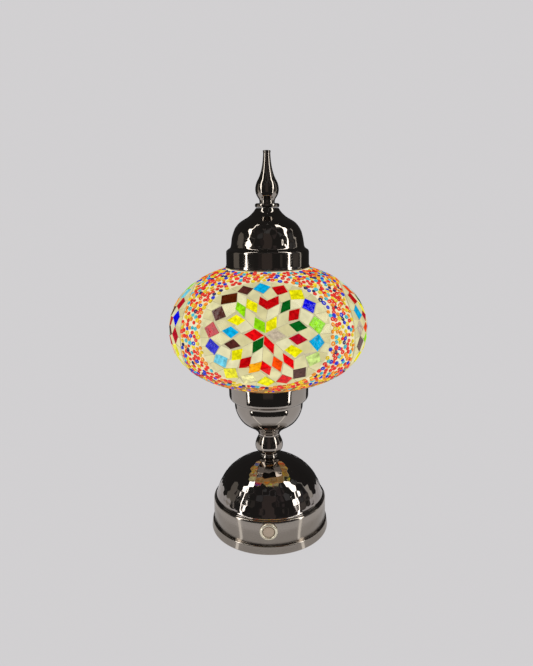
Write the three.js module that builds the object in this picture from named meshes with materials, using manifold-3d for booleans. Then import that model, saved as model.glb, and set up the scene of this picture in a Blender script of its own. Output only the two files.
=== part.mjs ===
// Mosaic glass table lamp, battery powered, as an assembly of separate pieces.
// Millimetres, +Z up, origin on the table under the middle of the base, push button towards -Y.
import * as THREE from "three";
import { mergeVertices } from "three/addons/utils/BufferGeometryUtils.js";
import Module from "manifold-3d";

const wasm = await Module();
wasm.setup();

// ---------------------------------------------------------------- driving dimensions
const N = 28; // facets round the large turned parts
const GAP = 0.3; // clearance between neighbouring pieces
const GLOBE_R = 90.4; // outside radius of the mosaic globe at its equator
const GLOBE_UP = { b: 58.6, power: 2.1 }; // height and exponent of the uncut outline above the equator
const GLOBE_DOWN = { b: 54.8, power: 2.32 }; // the same below it, flatter and squarer
const GLOBE_Z = 198; // height of the equator, before RAISE
const MOSAIC_T = 2.0; // thickness of tiles, beads and their bed
const GLASS_T = 3.0; // thickness of the blown glass
const MOUTH_R = 33.0; // radius of the ground openings, top and bottom
const MOSAIC_END_R = 36.0; // where the mosaic stops, under the metal rims
const RAISE = 1.6; // added to the heights of all pieces except the band and its foot pads
const BAND_R = 54.6; // base band
const BAND_TOP_Z = 32.2;
const FOOT_R = 56.85; // flared foot
const BUTTON_Z = 21.5; // push-button axis, before RAISE
const BEZEL_R = 8.1;
const BUTTON_R = 5.2;
const BARREL_R = 6.3;
const CELL_R = 7.15; // AA cell
const CELL_PITCH = 15.2;
const SHEET = 1.0; // spun sheet metal
const NIPPLE_R = 5.0; // M10 x 1 threaded tube
const NIPPLE_BORE = 3.5;
const STUD_R = 3.0; // M6
const CLEAR_10 = 5.3; // clearance hole for the threaded tube
const CLEAR_6 = 3.35; // clearance hole for the stud

// ---------------------------------------------------------------- materials
const mat = (color, roughness, metalness, extra = {}) =>
  new THREE.MeshStandardMaterial({ color, roughness, metalness, ...extra });
const M = {
  nickel: mat(0x2b2a2a, 0.12, 1.0),
  button: mat(0xd6cfb8, 0.3, 0.9),
  mosaic: mat(0xe8b48a, 0.35, 0.0),
  glass: mat(0xf2efe6, 0.1, 0.0, { transparent: true, opacity: 0.6 }),
  steel: mat(0x9a9a98, 0.35, 1.0),
  brass: mat(0xb89a55, 0.3, 1.0),
  plastic: mat(0x1c1c1d, 0.5, 0.0),
  white: mat(0xf4f2ee, 0.45, 0.0),
  rubber: mat(0x1a1a1a, 0.85, 0.0),
  cell: mat(0x30404c, 0.35, 0.4),
  board: mat(0x1f5c34, 0.5, 0.1),
  lead: mat(0x8c1b1b, 0.5, 0.0),
};

// ---------------------------------------------------------------- geometry helpers
// A closed mesh with shared vertices and no collapsed triangles.
function clean(geometry) {
  const g = geometry.index ? geometry.toNonIndexed() : geometry.clone();
  const bare = new THREE.BufferGeometry().setAttribute(
    "position",
    g.getAttribute("position"),
  );
  const merged = mergeVertices(bare, 1e-3);
  const old = merged.index.array;
  const index = [];
  for (let i = 0; i < old.length; i += 3) {
    const [a, b, c] = [old[i], old[i + 1], old[i + 2]];
    if (a !== b && b !== c && a !== c) index.push(a, b, c);
  }
  merged.setIndex(index);
  return outward(merged);
}

// Faces turned to point out of the solid.
function outward(g) {
  const p = g.attributes.position.array;
  const t = g.index.array;
  let v = 0;
  for (let i = 0; i < t.length; i += 3) {
    const [a, b, c] = [3 * t[i], 3 * t[i + 1], 3 * t[i + 2]];
    v +=
      p[a] * (p[b + 1] * p[c + 2] - p[b + 2] * p[c + 1]) -
      p[a + 1] * (p[b] * p[c + 2] - p[b + 2] * p[c]) +
      p[a + 2] * (p[b] * p[c + 1] - p[b + 1] * p[c]);
  }
  if (v < 0) {
    const r = Array.from(t);
    for (let i = 0; i < r.length; i += 3) [r[i + 1], r[i + 2]] = [r[i + 2], r[i + 1]];
    g.setIndex(r);
  }
  return g;
}

const toSolid = (g) => {
  const c = clean(g);
  return new wasm.Manifold(
    new wasm.Mesh({
      numProp: 3,
      vertProperties: Float32Array.from(c.attributes.position.array),
      triVerts: Uint32Array.from(c.index.array),
    }),
  );
};
const toGeometry = (s) => {
  const m = s.getMesh();
  const p = new Float32Array(m.numVert * 3);
  for (let i = 0; i < m.numVert; i++)
    for (let k = 0; k < 3; k++) p[3 * i + k] = m.vertProperties[i * m.numProp + k];
  const g = new THREE.BufferGeometry();
  g.setAttribute("position", new THREE.BufferAttribute(p, 3));
  g.setIndex(Array.from(m.triVerts));
  return g;
};
const cut = (g, ...tools) =>
  toGeometry(tools.reduce((s, t) => s.subtract(toSolid(t)), toSolid(g)));
const join = (g, ...others) =>
  toGeometry(others.reduce((s, t) => s.add(toSolid(t)), toSolid(g)));

// Turned shape about Z from [radius, height] points; closed on itself unless both ends are on the axis.
function turned(points, sides = N) {
  const first = points[0];
  const last = points[points.length - 1];
  const open = first[0] === 0 && last[0] === 0;
  const list = open ? points : [...points, first];
  return clean(
    new THREE.LatheGeometry(
      list.map(([r, z]) => new THREE.Vector2(r, z)),
      sides,
    ).rotateX(Math.PI / 2),
  );
}

// The same polyline moved sideways by d, to its left when walked in order.
function offset(points, d) {
  return points.map((p, i) => {
    const n = [0, 0];
    for (const [a, b] of [
      [points[i - 1], p],
      [p, points[i + 1]],
    ]) {
      if (!a || !b) continue;
      const l = Math.hypot(b[0] - a[0], b[1] - a[1]);
      n[0] += -(b[1] - a[1]) / l;
      n[1] += (b[0] - a[0]) / l;
    }
    const l = Math.hypot(...n);
    const ends = points[i - 1] && points[i + 1] ? 2 / l : 1;
    return [p[0] + (n[0] / l) * d * Math.min(ends, 1.4), p[1] + (n[1] / l) * d * Math.min(ends, 1.4)];
  });
}

const box = (x0, y0, z0, x1, y1, z1) =>
  new THREE.BoxGeometry(x1 - x0, y1 - y0, z1 - z0).translate(
    (x0 + x1) / 2,
    (y0 + y1) / 2,
    (z0 + z1) / 2,
  );
// Round bar along Z between two heights.
const bar = (r, z0, z1, sides = 16) =>
  turned(
    [
      [0, z0],
      [r, z0],
      [r, z1],
      [0, z1],
    ],
    sides,
  );
// Prism with flats, such as a nut, with a round hole.
const nut = (across, z0, z1, hole, phase = 0) => {
  const hex = new THREE.CylinderGeometry(across, across, z1 - z0, 6)
    .rotateX(Math.PI / 2)
    .rotateZ(phase)
    .translate(0, 0, (z0 + z1) / 2);
  return cut(hex, bar(hole, z0 - 1, z1 + 1, 16));
};
// Flat strip bent along a path in the XZ plane, w wide in Y and t thick.
function strip(path, w, t) {
  const a = offset(path, t / 2);
  const b = offset(path, -t / 2).reverse();
  const shape = new THREE.Shape([...a, ...b].map(([x, z]) => new THREE.Vector2(x, z)));
  return new THREE.ExtrudeGeometry(shape, { depth: w, bevelEnabled: false, steps: 1 })
    .rotateX(Math.PI / 2)
    .translate(0, w / 2, 0);
}
// Round wire or lead along a smooth curve.
function wire(points, r, sides, steps) {
  const path = new THREE.CatmullRomCurve3(
    points.map((p) => new THREE.Vector3(...p)),
    false,
    "centripetal",
  );
  const ring = [];
  for (let i = 0; i < sides; i++) {
    const a = (2 * Math.PI * i) / sides;
    ring.push(new THREE.Vector2(r * Math.cos(a), r * Math.sin(a)));
  }
  return clean(
    new THREE.ExtrudeGeometry(new THREE.Shape(ring), {
      steps,
      bevelEnabled: false,
      extrudePath: path,
    }),
  );
}
// Coil spring along an axis: start, length, radius at each end.
function coil(place, length, r0, r1, turns, wireR, perTurn = 6) {
  const points = [];
  const count = turns * perTurn;
  for (let i = 0; i <= count; i++) {
    const a = (2 * Math.PI * i) / perTurn;
    const f = i / count;
    const r = r0 + (r1 - r0) * f;
    points.push(place(r * Math.cos(a), r * Math.sin(a), wireR + f * (length - 2 * wireR)));
  }
  return wire(points, wireR, 3, count);
}

// Globe outline: radius -> height above (half = GLOBE_UP) or below (GLOBE_DOWN) the equator, d inside the outer surface.
const globeHeight = (r, d, half) => {
  const a = GLOBE_R - d;
  const b = half.b - d;
  return b * Math.pow(1 - Math.pow(r / a, half.power), 1 / half.power);
};
// Points of the globe's outline from the bottom opening to the top one, at angles that all its layers share.
function globeLine(d, end, steps = 5) {
  const a = GLOBE_R - d;
  const line = [];
  for (let i = -steps; i <= steps; i++) {
    const half = i < 0 ? GLOBE_DOWN : GLOBE_UP;
    const b = half.b - d;
    const tEnd = Math.asin(Math.pow(MOSAIC_END_R / GLOBE_R, half.power / 2));
    const t = Math.PI / 2 - ((Math.PI / 2 - tEnd) * Math.abs(i)) / steps;
    const r = a * Math.pow(Math.sin(t), 2 / half.power);
    const h = b * Math.pow(Math.max(Math.cos(t), 0), 2 / half.power);
    line.push([r, GLOBE_Z + Math.sign(i) * h]);
  }
  if (end) {
    line.unshift([end, GLOBE_Z - globeHeight(end, d, GLOBE_DOWN)]);
    line.push([end, GLOBE_Z + globeHeight(end, d, GLOBE_UP)]);
  }
  return line;
}

const group = new THREE.Group();
group.name = "mosaic_glass_table_lamp";
const add = (name, geometry, material, raise = RAISE) => {
  const g = clean(geometry.clone().translate(0, 0, raise));
  g.computeVertexNormals();
  const mesh = new THREE.Mesh(g, material);
  mesh.name = name;
  group.add(mesh);
  return mesh;
};

// ---------------------------------------------------------------- base
// Plain band with a rolled top flange, a groove and a flared foot; three inner lugs take the cover screws.
const bandLine = [
  [56.2, 0.6],
  [FOOT_R, 1.5],
  [56.55, 4.0],
  [56.05, 7.4],
  [55.6, 8.3],
  [54.35, 8.4],
  [BAND_R, 9.6],
  [BAND_R - 0.1, 29.8],
  [53.95, 31.3],
  [52.5, BAND_TOP_Z],
  [50.0, BAND_TOP_Z],
  [50.0, BAND_TOP_Z - 1],
  [52.4, BAND_TOP_Z - 1],
  [53.2, 29.8],
  [53.2, 8.6],
  [54.4, 7.0],
  [55.4, 1.6],
  [55.4, 0.6],
];
const SCREW_R = 50;
const SCREWS = [90, 210, 330];
const atAngle = (g, degrees) => g.rotateZ((degrees * Math.PI) / 180);
const lugs = SCREWS.map((a) => atAngle(box(45.5, -4.5, 5.6, 55.2, 4.5, 7.6), a));
const lugHoles = SCREWS.map((a) =>
  atAngle(bar(1.9, 5, 9, 12).translate(SCREW_R, 0, 0), a),
);
const switchHole = bar(BARREL_R + 0.4, -15, 15, 20)
  .rotateX(Math.PI / 2)
  .translate(0, -55, BUTTON_Z + RAISE);
add("base_band", cut(join(turned(bandLine), ...lugs), ...lugHoles, switchHole), M.nickel, 0);

// Hammered dome standing on the band's flange.
const domeLine = [
  [53.0, 30.9],
  [52.9, 31.4],
  [51.7, 32.3],
  [51.0, 34.4],
  [48.9, 40.3],
  [44.6, 48.3],
  [39.6, 54.5],
  [33.2, 59.9],
  [25.8, 64.4],
  [17.8, 67.8],
  [11.5, 69.4],
  [CLEAR_10, 69.7],
];
add("dome", turned([...domeLine, ...offset(domeLine, SHEET).reverse()]), M.nickel);
add(
  "dome_washer",
  turned(
    [
      [CLEAR_10, 67.1],
      [8.0, 67.1],
      [8.0, 68.3],
      [CLEAR_10, 68.3],
    ],
    20,
  ),
  M.steel,
);
add("dome_nut", nut(8.08, 62.8, 66.8, CLEAR_10), M.brass);

// Bottom cover with the battery opening and three screws; four soft pads stand under it.
const COVER_Z0 = 2.0;
const COVER_Z1 = 3.6;
const DOOR = [58.4 / 2, 44.8 / 2];
add(
  "bottom_cover",
  cut(
    turned([
      [0, COVER_Z0],
      [54.4, COVER_Z0],
      [54.4, COVER_Z1],
      [0, COVER_Z1],
    ]),
    box(-DOOR[0] - 0.4, -DOOR[1] - 0.4, 0, DOOR[0] + 0.4, DOOR[1] + 0.4, 6),
    ...SCREWS.map((a) => atAngle(bar(1.9, 0, 6, 12).translate(SCREW_R, 0, 0), a)),
  ),
  M.plastic,
);
add(
  "battery_door",
  cut(
    box(-DOOR[0], -DOOR[1], COVER_Z0, DOOR[0], DOOR[1], COVER_Z1),
    box(-8, DOOR[1] - 5, COVER_Z0 - 1, 8, DOOR[1] - 2.5, COVER_Z0 + 0.8),
  ),
  M.plastic,
);
SCREWS.forEach((a, i) =>
  add(
    `cover_screw_${i + 1}`,
    atAngle(
      turned(
        [
          [0, 0.6],
          [2.3, 0.6],
          [2.9, 1.1],
          [2.9, 1.7],
          [1.5, 1.7],
          [1.5, 8.0],
          [0, 9.2],
        ],
        12,
      ).translate(SCREW_R, 0, 0),
      a,
    ),
    M.steel,
  ),
);
[45, 135, 225, 315].forEach((a, i) =>
  add(`foot_pad_${i + 1}`, atAngle(bar(6.0, 0, 3.3, 16).translate(47.5, 0, 0), a), M.rubber, 0),
);

// Battery box, open below, with three AA cells in series between contact plates and springs.
const TRAY = { x: 29.7, y: 23.4, wall: 1.4, z0: 3.9, z1: 21.4 };
add(
  "battery_box",
  cut(
    box(-TRAY.x - TRAY.wall, -TRAY.y - TRAY.wall, TRAY.z0, TRAY.x + TRAY.wall, TRAY.y + TRAY.wall, TRAY.z1),
    box(-TRAY.x, -TRAY.y, 0, TRAY.x, TRAY.y, TRAY.z1 - 1.4),
  ),
  M.plastic,
);
const CELL_Z = 4.4 + CELL_R;
[-1, 0, 1].forEach((k, i) => {
  const flip = k === 0 ? -1 : 1; // the middle cell lies the other way round
  const cell = turned(
    [
      [0, -21.4],
      [4.0, -21.4],
      [CELL_R, -20.9],
      [CELL_R, 26.9],
      [2.8, 27.4],
      [2.6, 28.8],
      [0, 28.8],
    ],
    16,
  )
    .rotateY(Math.PI / 2)
    .rotateZ(flip < 0 ? Math.PI : 0)
    .translate(0, k * CELL_PITCH, CELL_Z);
  add(`battery_${i + 1}`, cell, M.cell);
  const place = (u, v, w) =>
    flip > 0
      ? [-29.0 + 0.0 + w, k * CELL_PITCH + u, CELL_Z + v]
      : [29.0 - w, k * CELL_PITCH + u, CELL_Z + v];
  add(`battery_spring_${i + 1}`, coil(place, 7.2, 4.6, 2.6, 2, 0.4), M.steel);
});
const plate = (side, y0, y1) =>
  side > 0
    ? box(29.1, y0, CELL_Z - 5, 29.5, y1, CELL_Z + 5)
    : box(-29.5, y0, CELL_Z - 5, -29.3, y1, CELL_Z + 5);
// on the +X side the plates stand just past the cell's tip
add("contact_plate_1", plate(1, -CELL_PITCH - 5, 5), M.steel);
add("contact_plate_2", plate(1, CELL_PITCH - 5, CELL_PITCH + 5), M.steel);
add("contact_plate_3", plate(-1, -CELL_PITCH - 5, -CELL_PITCH + 5), M.steel);
add("contact_plate_4", plate(-1, -5, CELL_PITCH + 5), M.steel);

// Driver board on top of the battery box.
add(
  "driver_board",
  join(
    box(-20, -12, 22.0, 20, 12, 23.6),
    box(-14, -3, 23.2, -6, 5, 25.6),
    box(9, -9, 23.2, 16, -2, 27.5),
  ),
  M.board,
);

// ---------------------------------------------------------------- push-button switch on the band
// Made along +Z with its front at z = 0 and its back at positive z, then turned so that the front faces -Y.
const FLANGE_Y = -57.2;
const asSwitch = (g) => g.rotateX(-Math.PI / 2).translate(0, FLANGE_Y, BUTTON_Z);
// rotateX(-90 degrees) sends +Z to +Y
add(
  "switch_body",
  asSwitch(
    turned(
      [
        [0, 22.8],
        [BARREL_R, 22.8],
        [BARREL_R, 2.25],
        [BEZEL_R, 2.25],
        [BEZEL_R, 1.2],
        [7.5, 0.35],
        [6.6, 0.0],
        [5.9, 0.35],
        [BUTTON_R + GAP, 1.0],
        [BUTTON_R + GAP, 21.2],
        [0, 21.2],
      ],
      24,
    ),
  ),
  M.button,
);
add(
  "button_cap",
  asSwitch(
    turned(
      [
        [0, 0.55],
        [4.5, 0.55],
        [BUTTON_R, 1.1],
        [BUTTON_R, 7.5],
        [0, 7.5],
      ],
      24,
    ),
  ),
  M.button,
);
add(
  "button_spring",
  asSwitch(coil((u, v, w) => [u, v, 9.4 + w], 11.4, 4.0, 4.0, 3, 0.4)),
  M.steel,
);
add("switch_nut", asSwitch(nut(8.8, 5.4, 7.8, BARREL_R + 0.35, Math.PI / 6)), M.steel);

// ---------------------------------------------------------------- stem and cup
add(
  "stem",
  turned(
    [
      [8.6, 70.0],
      [8.7, 70.4],
      [7.7, 71.7],
      [7.7, 73.6],
      [9.3, 75.5],
      [11.8, 77.0],
      [13.0, 79.2],
      [13.25, 81.8],
      [12.7, 85.2],
      [11.5, 88.2],
      [10.1, 91.0],
      [10.05, 91.85],
      [CLEAR_10, 91.85],
      [CLEAR_10, 70.0],
    ],
    24,
  ),
  M.nickel,
);
const nippleLine = [
  [NIPPLE_R, 60.5],
  [NIPPLE_R, 104.0],
  [NIPPLE_BORE, 104.0],
  [NIPPLE_BORE, 60.5],
];
add("nipple", turned(nippleLine, 16), M.brass);
const cupLine = [
  [CLEAR_10, 92.15],
  [10.05, 92.15],
  [10.7, 94.6],
  [14.0, 98.2],
  [19.8, 102.2],
  [25.2, 106.2],
  [29.4, 112.3],
  [31.7, 118.6],
  [32.35, 125.4],
  [33.2, 127.6],
  [36.3, 129.5],
  [37.3, 131.8],
  [37.5, 144.4],
  [36.9, 145.4],
];
add("cup", turned([...cupLine, ...offset(cupLine, SHEET).reverse()]), M.nickel);
add("cup_nut", nut(8.08, 94.8, 98.6, CLEAR_10), M.brass);

// Spring clip: a bent strip with a hole in its middle and two legs that reach into the globe's opening.
const mirror = (path) => [...path.map(([x, z]) => [-x, z]).reverse(), ...path];
add(
  "globe_clip",
  cut(
    join(bar(8.6, 99.0, 99.8, 24), strip(
      mirror([
        [12.0, 99.4],
        [18.4, 104.6],
        [24.4, 110.6],
        [28.4, 118.0],
        [30.2, 128.0],
        [31.3, 140.0],
        [31.1, 149.0],
        [29.6, 153.0],
      ]),
      10,
      0.8,
    )),
    bar(CLEAR_10, 90, 105, 16),
  ),
  M.steel,
);

// Small screw lampholder on the nipple.
add(
  "lampholder",
  turned(
    [
      [CLEAR_10, 100.4],
      [10.5, 100.4],
      [13.2, 104.0],
      [13.2, 131.0],
      [7.5, 131.0],
      [7.5, 107.5],
      [CLEAR_10, 107.5],
    ],
    20,
  ),
  M.plastic,
);
add(
  "holder_contact",
  turned(
    [
      [0, 107.9],
      [4.6, 107.9],
      [4.6, 108.5],
      [2.0, 110.2],
      [0, 110.5],
    ],
    12,
  ),
  M.brass,
);

// ---------------------------------------------------------------- bulb
add(
  "bulb_base",
  turned(
    [
      [0, 111.0],
      [2.5, 111.0],
      [3.2, 112.5],
      [6.0, 113.8],
      [6.95, 115.2],
      [6.95, 131.4],
      [0, 131.4],
    ],
    20,
  ),
  M.brass,
);
add(
  "bulb_body",
  turned(
    [
      [0, 131.7],
      [7.2, 131.7],
      [9.0, 133.0],
      [15.4, 146.0],
      [17.0, 150.0],
      [17.0, 152.0],
      [0, 152.0],
    ],
    24,
  ),
  M.white,
);
const diffuser = [
  [0, 191.5],
  [9.0, 189.7],
  [15.5, 185.5],
  [19.5, 180.5],
  [21.8, 175.0],
  [22.5, 169.0],
  [21.6, 162.5],
  [19.4, 157.0],
  [16.6, 152.3],
];
const diffuserInside = offset(diffuser, -1.2).map(([r, z], i) => [
  i === 0 ? 0 : Math.max(r, 0),
  i === diffuser.length - 1 ? 152.3 : z,
]);
diffuserInside[0] = [0, 190.3];
add("bulb_diffuser", turned([...diffuser, ...diffuserInside.reverse()], 24), M.white);
add("led_board", bar(12.0, 152.3, 153.7, 20), M.board);

// ---------------------------------------------------------------- globe
add(
  "globe_glass",
  turned([
    ...globeLine(MOSAIC_T + GAP, MOUTH_R),
    ...globeLine(MOSAIC_T + GAP + GLASS_T, MOUTH_R).reverse(),
  ]),
  M.glass,
);
add(
  "mosaic_skin",
  turned([
    ...globeLine(0),
    ...globeLine(MOSAIC_T).reverse(),
  ]),
  M.mosaic,
);
const mouthUp = globeHeight(MOUTH_R, MOSAIC_T + GAP, GLOBE_UP);
const mouthDown = globeHeight(MOUTH_R, MOSAIC_T + GAP, GLOBE_DOWN);
add(
  "edge_ring_upper",
  turned([
    [MOUTH_R + 0.3, GLOBE_Z + mouthUp + 0.4],
    [34.8, GLOBE_Z + mouthUp + 0.4],
    [34.8, GLOBE_Z + mouthUp + 2.0],
    [MOUTH_R + 0.3, GLOBE_Z + mouthUp + 2.0],
  ]),
  M.rubber,
);
add(
  "edge_ring_lower",
  turned([
    [MOUTH_R + 0.3, GLOBE_Z - mouthDown - 2.4],
    [34.8, GLOBE_Z - mouthDown - 2.4],
    [34.8, GLOBE_Z - mouthDown - 0.4],
    [MOUTH_R + 0.3, GLOBE_Z - mouthDown - 0.4],
  ]),
  M.rubber,
);

// ---------------------------------------------------------------- cap and finial
const capLine = [
  [37.95, 252.3],
  [37.95, 252.8],
  [37.4, 254.2],
  [37.2, 265.8],
  [36.2, 267.9],
  [33.5, 270.2],
  [32.6, 273.0],
  [31.8, 278.6],
  [30.3, 283.7],
  [27.3, 289.1],
  [22.7, 293.1],
  [16.5, 296.8],
  [12.2, 301.0],
  [9.8, 304.3],
  [CLEAR_6, 304.3],
];
add("top_cap", turned([...capLine, ...offset(capLine, SHEET).reverse()]), M.nickel);
add(
  "finial_collar",
  turned(
    [
      [CLEAR_6, 304.6],
      [9.8, 304.6],
      [10.8, 305.7],
      [10.8, 307.1],
      [9.7, 308.2],
      [CLEAR_6, 308.2],
    ],
    24,
  ),
  M.nickel,
);
add(
  "finial",
  turned(
    [
      [CLEAR_6, 308.5],
      [7.0, 308.5],
      [7.0, 311.0],
      [8.6, 313.6],
      [9.9, 316.1],
      [10.4, 319.8],
      [9.9, 323.4],
      [8.8, 326.6],
      [7.0, 330.2],
      [5.5, 334.4],
      [4.3, 339.2],
      [3.4, 345.2],
      [3.15, 351.2],
      [3.45, 352.3],
      [3.1, 352.8],
      [0, 352.8],
      [0, 319.0],
      [CLEAR_6, 319.0],
    ],
    20,
  ),
  M.nickel,
);
add("finial_stud", bar(STUD_R, 281.0, 318.5, 12), M.steel);
add(
  "cap_clip",
  cut(
    strip(
      mirror([
        [17.5, 290.0],
        [24.3, 284.0],
        [28.4, 274.0],
        [30.8, 262.0],
        [31.4, 250.0],
        [30.9, 240.5],
        [29.4, 237.0],
      ]),
      10,
      0.8,
    ),
    bar(CLEAR_6, 285, 295, 16),
  ),
  M.steel,
);
add(
  "cap_washer",
  turned(
    [
      [CLEAR_6, 287.9],
      [6.2, 287.9],
      [6.2, 289.2],
      [CLEAR_6, 289.2],
    ],
    16,
  ),
  M.steel,
);
add("cap_nut", nut(5.77, 282.6, 287.5, CLEAR_6), M.steel);

// ---------------------------------------------------------------- leads
add(
  "supply_lead",
  wire(
    [
      [4, 6, 26.2],
      [4, 6, 32],
      [1.5, 2.5, 44],
      [0, 0, 58],
      [0, 0, 80],
      [0, 0, 106.4],
    ],
    1.8,
    8,
    18,
  ),
  M.lead,
);
add(
  "switch_lead",
  wire(
    [
      [0, -33.6, 21.5],
      [0, -30.5, 22.6],
      [0, -25.0, 27.0],
      [1, -16.0, 28.2],
      [2, -8.0, 27.2],
      [3, -5.0, 25.4],
    ],
    1.2,
    6,
    12,
  ),
  M.lead,
);
add(
  "battery_lead",
  wire(
    [
      [-27.5, -10, 22.9],
      [-25.0, -9, 26.0],
      [-20.0, -7, 27.6],
      [-17.3, -5, 25.2],
    ],
    0.9,
    6,
    8,
  ),
  M.lead,
);

export default group;
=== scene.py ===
import math

import bpy
import numpy as np
from mathutils import Matrix, Vector, kdtree


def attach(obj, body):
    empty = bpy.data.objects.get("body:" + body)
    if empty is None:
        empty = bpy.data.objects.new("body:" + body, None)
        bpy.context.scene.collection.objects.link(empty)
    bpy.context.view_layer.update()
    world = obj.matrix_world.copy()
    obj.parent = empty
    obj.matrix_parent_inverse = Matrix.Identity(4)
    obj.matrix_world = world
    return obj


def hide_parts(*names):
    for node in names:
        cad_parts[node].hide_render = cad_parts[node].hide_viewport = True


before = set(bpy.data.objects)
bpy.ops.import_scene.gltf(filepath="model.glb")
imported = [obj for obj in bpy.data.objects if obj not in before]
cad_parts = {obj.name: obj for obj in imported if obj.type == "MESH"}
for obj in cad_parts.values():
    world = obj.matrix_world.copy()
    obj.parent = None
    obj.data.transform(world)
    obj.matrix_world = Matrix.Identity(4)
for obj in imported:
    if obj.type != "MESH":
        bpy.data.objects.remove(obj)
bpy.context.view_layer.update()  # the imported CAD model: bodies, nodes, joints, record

MM = 0.001
rng = np.random.default_rng(11)

# ------------------------------------------------------------------ camera
cam_data = bpy.data.cameras.new("camera")
cam = bpy.data.objects.new("camera", cam_data)
bpy.context.scene.collection.objects.link(cam)
bpy.context.scene.camera = cam
cam_data.sensor_width = 36.0
cam_data.lens = 551.8 / 666.0 * 36.0
cam_data.clip_start, cam_data.clip_end = 0.01, 60.0
PITCH, ROLL = math.radians(12.07), math.radians(-0.52)
VIEW_AZ = 1.3  # the view comes from a little to the right of the push button, degrees
turn = Matrix.Rotation(math.radians(VIEW_AZ), 3, "Z")
cam.location = turn @ Vector((-0.0016, -0.5, 0.29966))
cam.rotation_euler = (turn @ Matrix.Rotation(math.pi / 2 - PITCH, 3, "X") @ Matrix.Rotation(ROLL, 3, "Z")).to_euler()

scene = bpy.context.scene
scene.view_settings.view_transform = "Standard"
scene.view_settings.look = "None"


# ------------------------------------------------------------------ mesh helpers
UP = 1.6  # everything above the foot stands this much higher than its own drawing heights


def make_mesh(name, V, polys, sharp=None, smooth=True, up=UP):
    """A mesh from vertices in mm and arrays of polygons with one size each."""
    me = bpy.data.meshes.new(name)
    V = (np.asarray(V, np.float32) + np.array([0, 0, up], np.float32)) * MM
    polys = [np.asarray(p, np.int32) for p in polys if len(p)]
    loops = np.concatenate([p.ravel() for p in polys])
    sizes = np.concatenate([np.full(len(p), p.shape[1], np.int32) for p in polys])
    starts = np.concatenate([[0], np.cumsum(sizes)[:-1]]).astype(np.int32)
    me.vertices.add(len(V))
    me.vertices.foreach_set("co", V.ravel())
    me.loops.add(len(loops))
    me.loops.foreach_set("vertex_index", loops)
    me.polygons.add(len(sizes))
    me.polygons.foreach_set("loop_start", starts)
    me.update(calc_edges=True)
    me.validate()
    me.polygons.foreach_set("use_smooth", np.full(len(me.polygons), bool(smooth)))
    if smooth and sharp:
        me.set_sharp_from_angle(angle=math.radians(sharp))
    me.update()
    return me


def piece(name, me, materials, body, replaces=()):
    o = bpy.data.objects.new(name, me)
    bpy.context.scene.collection.objects.link(o)
    for m in materials if isinstance(materials, (list, tuple)) else [materials]:
        me.materials.append(m)
    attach(o, body)
    for n in replaces:
        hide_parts(n)
    return o


def area2(P):
    x, y = P[:, 0], P[:, 1]
    return float(np.sum(x * np.roll(y, -1) - np.roll(x, -1) * y)) / 2


def revolve(profile, seg, displace=None):
    """Vertices and faces of a turned body: a profile of (radius, height) that closes on itself or starts and ends on the axis."""
    P = np.asarray(profile, float)
    on_axis = P[0, 0] < 1e-6 and P[-1, 0] < 1e-6
    if area2(P) < 0:
        P = P[::-1]
    k = len(P)
    th = np.arange(seg) * 2 * np.pi / seg
    ids = np.zeros((k, seg), np.int64)
    rows = []
    n = 0
    for i, (r, z) in enumerate(P):
        if r < 1e-6:
            rows.append(np.array([[0.0, 0.0, z]]))
            ids[i, :] = n
            n += 1
        else:
            rows.append(np.c_[r * np.sin(th), -r * np.cos(th), np.full(seg, z)])
            ids[i, :] = n + np.arange(seg)
            n += seg
    V = np.vstack(rows)
    quads, tris = [], []
    last = k - 1 if on_axis else k
    for i in range(last):
        a, b = ids[i], ids[(i + 1) % k]
        a1, b1 = np.roll(a, -1), np.roll(b, -1)
        if P[i, 0] < 1e-6 and P[(i + 1) % k, 0] < 1e-6:
            continue
        if P[i, 0] < 1e-6:
            tris.append(np.c_[a, b1, b])
        elif P[(i + 1) % k, 0] < 1e-6:
            tris.append(np.c_[a, a1, b])
        else:
            quads.append(np.c_[a, a1, b1, b])
    if displace is not None:
        V = displace(V)
    polys = []
    if quads:
        polys.append(np.vstack(quads))
    if tris:
        polys.append(np.vstack(tris))
    return V, polys


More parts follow.
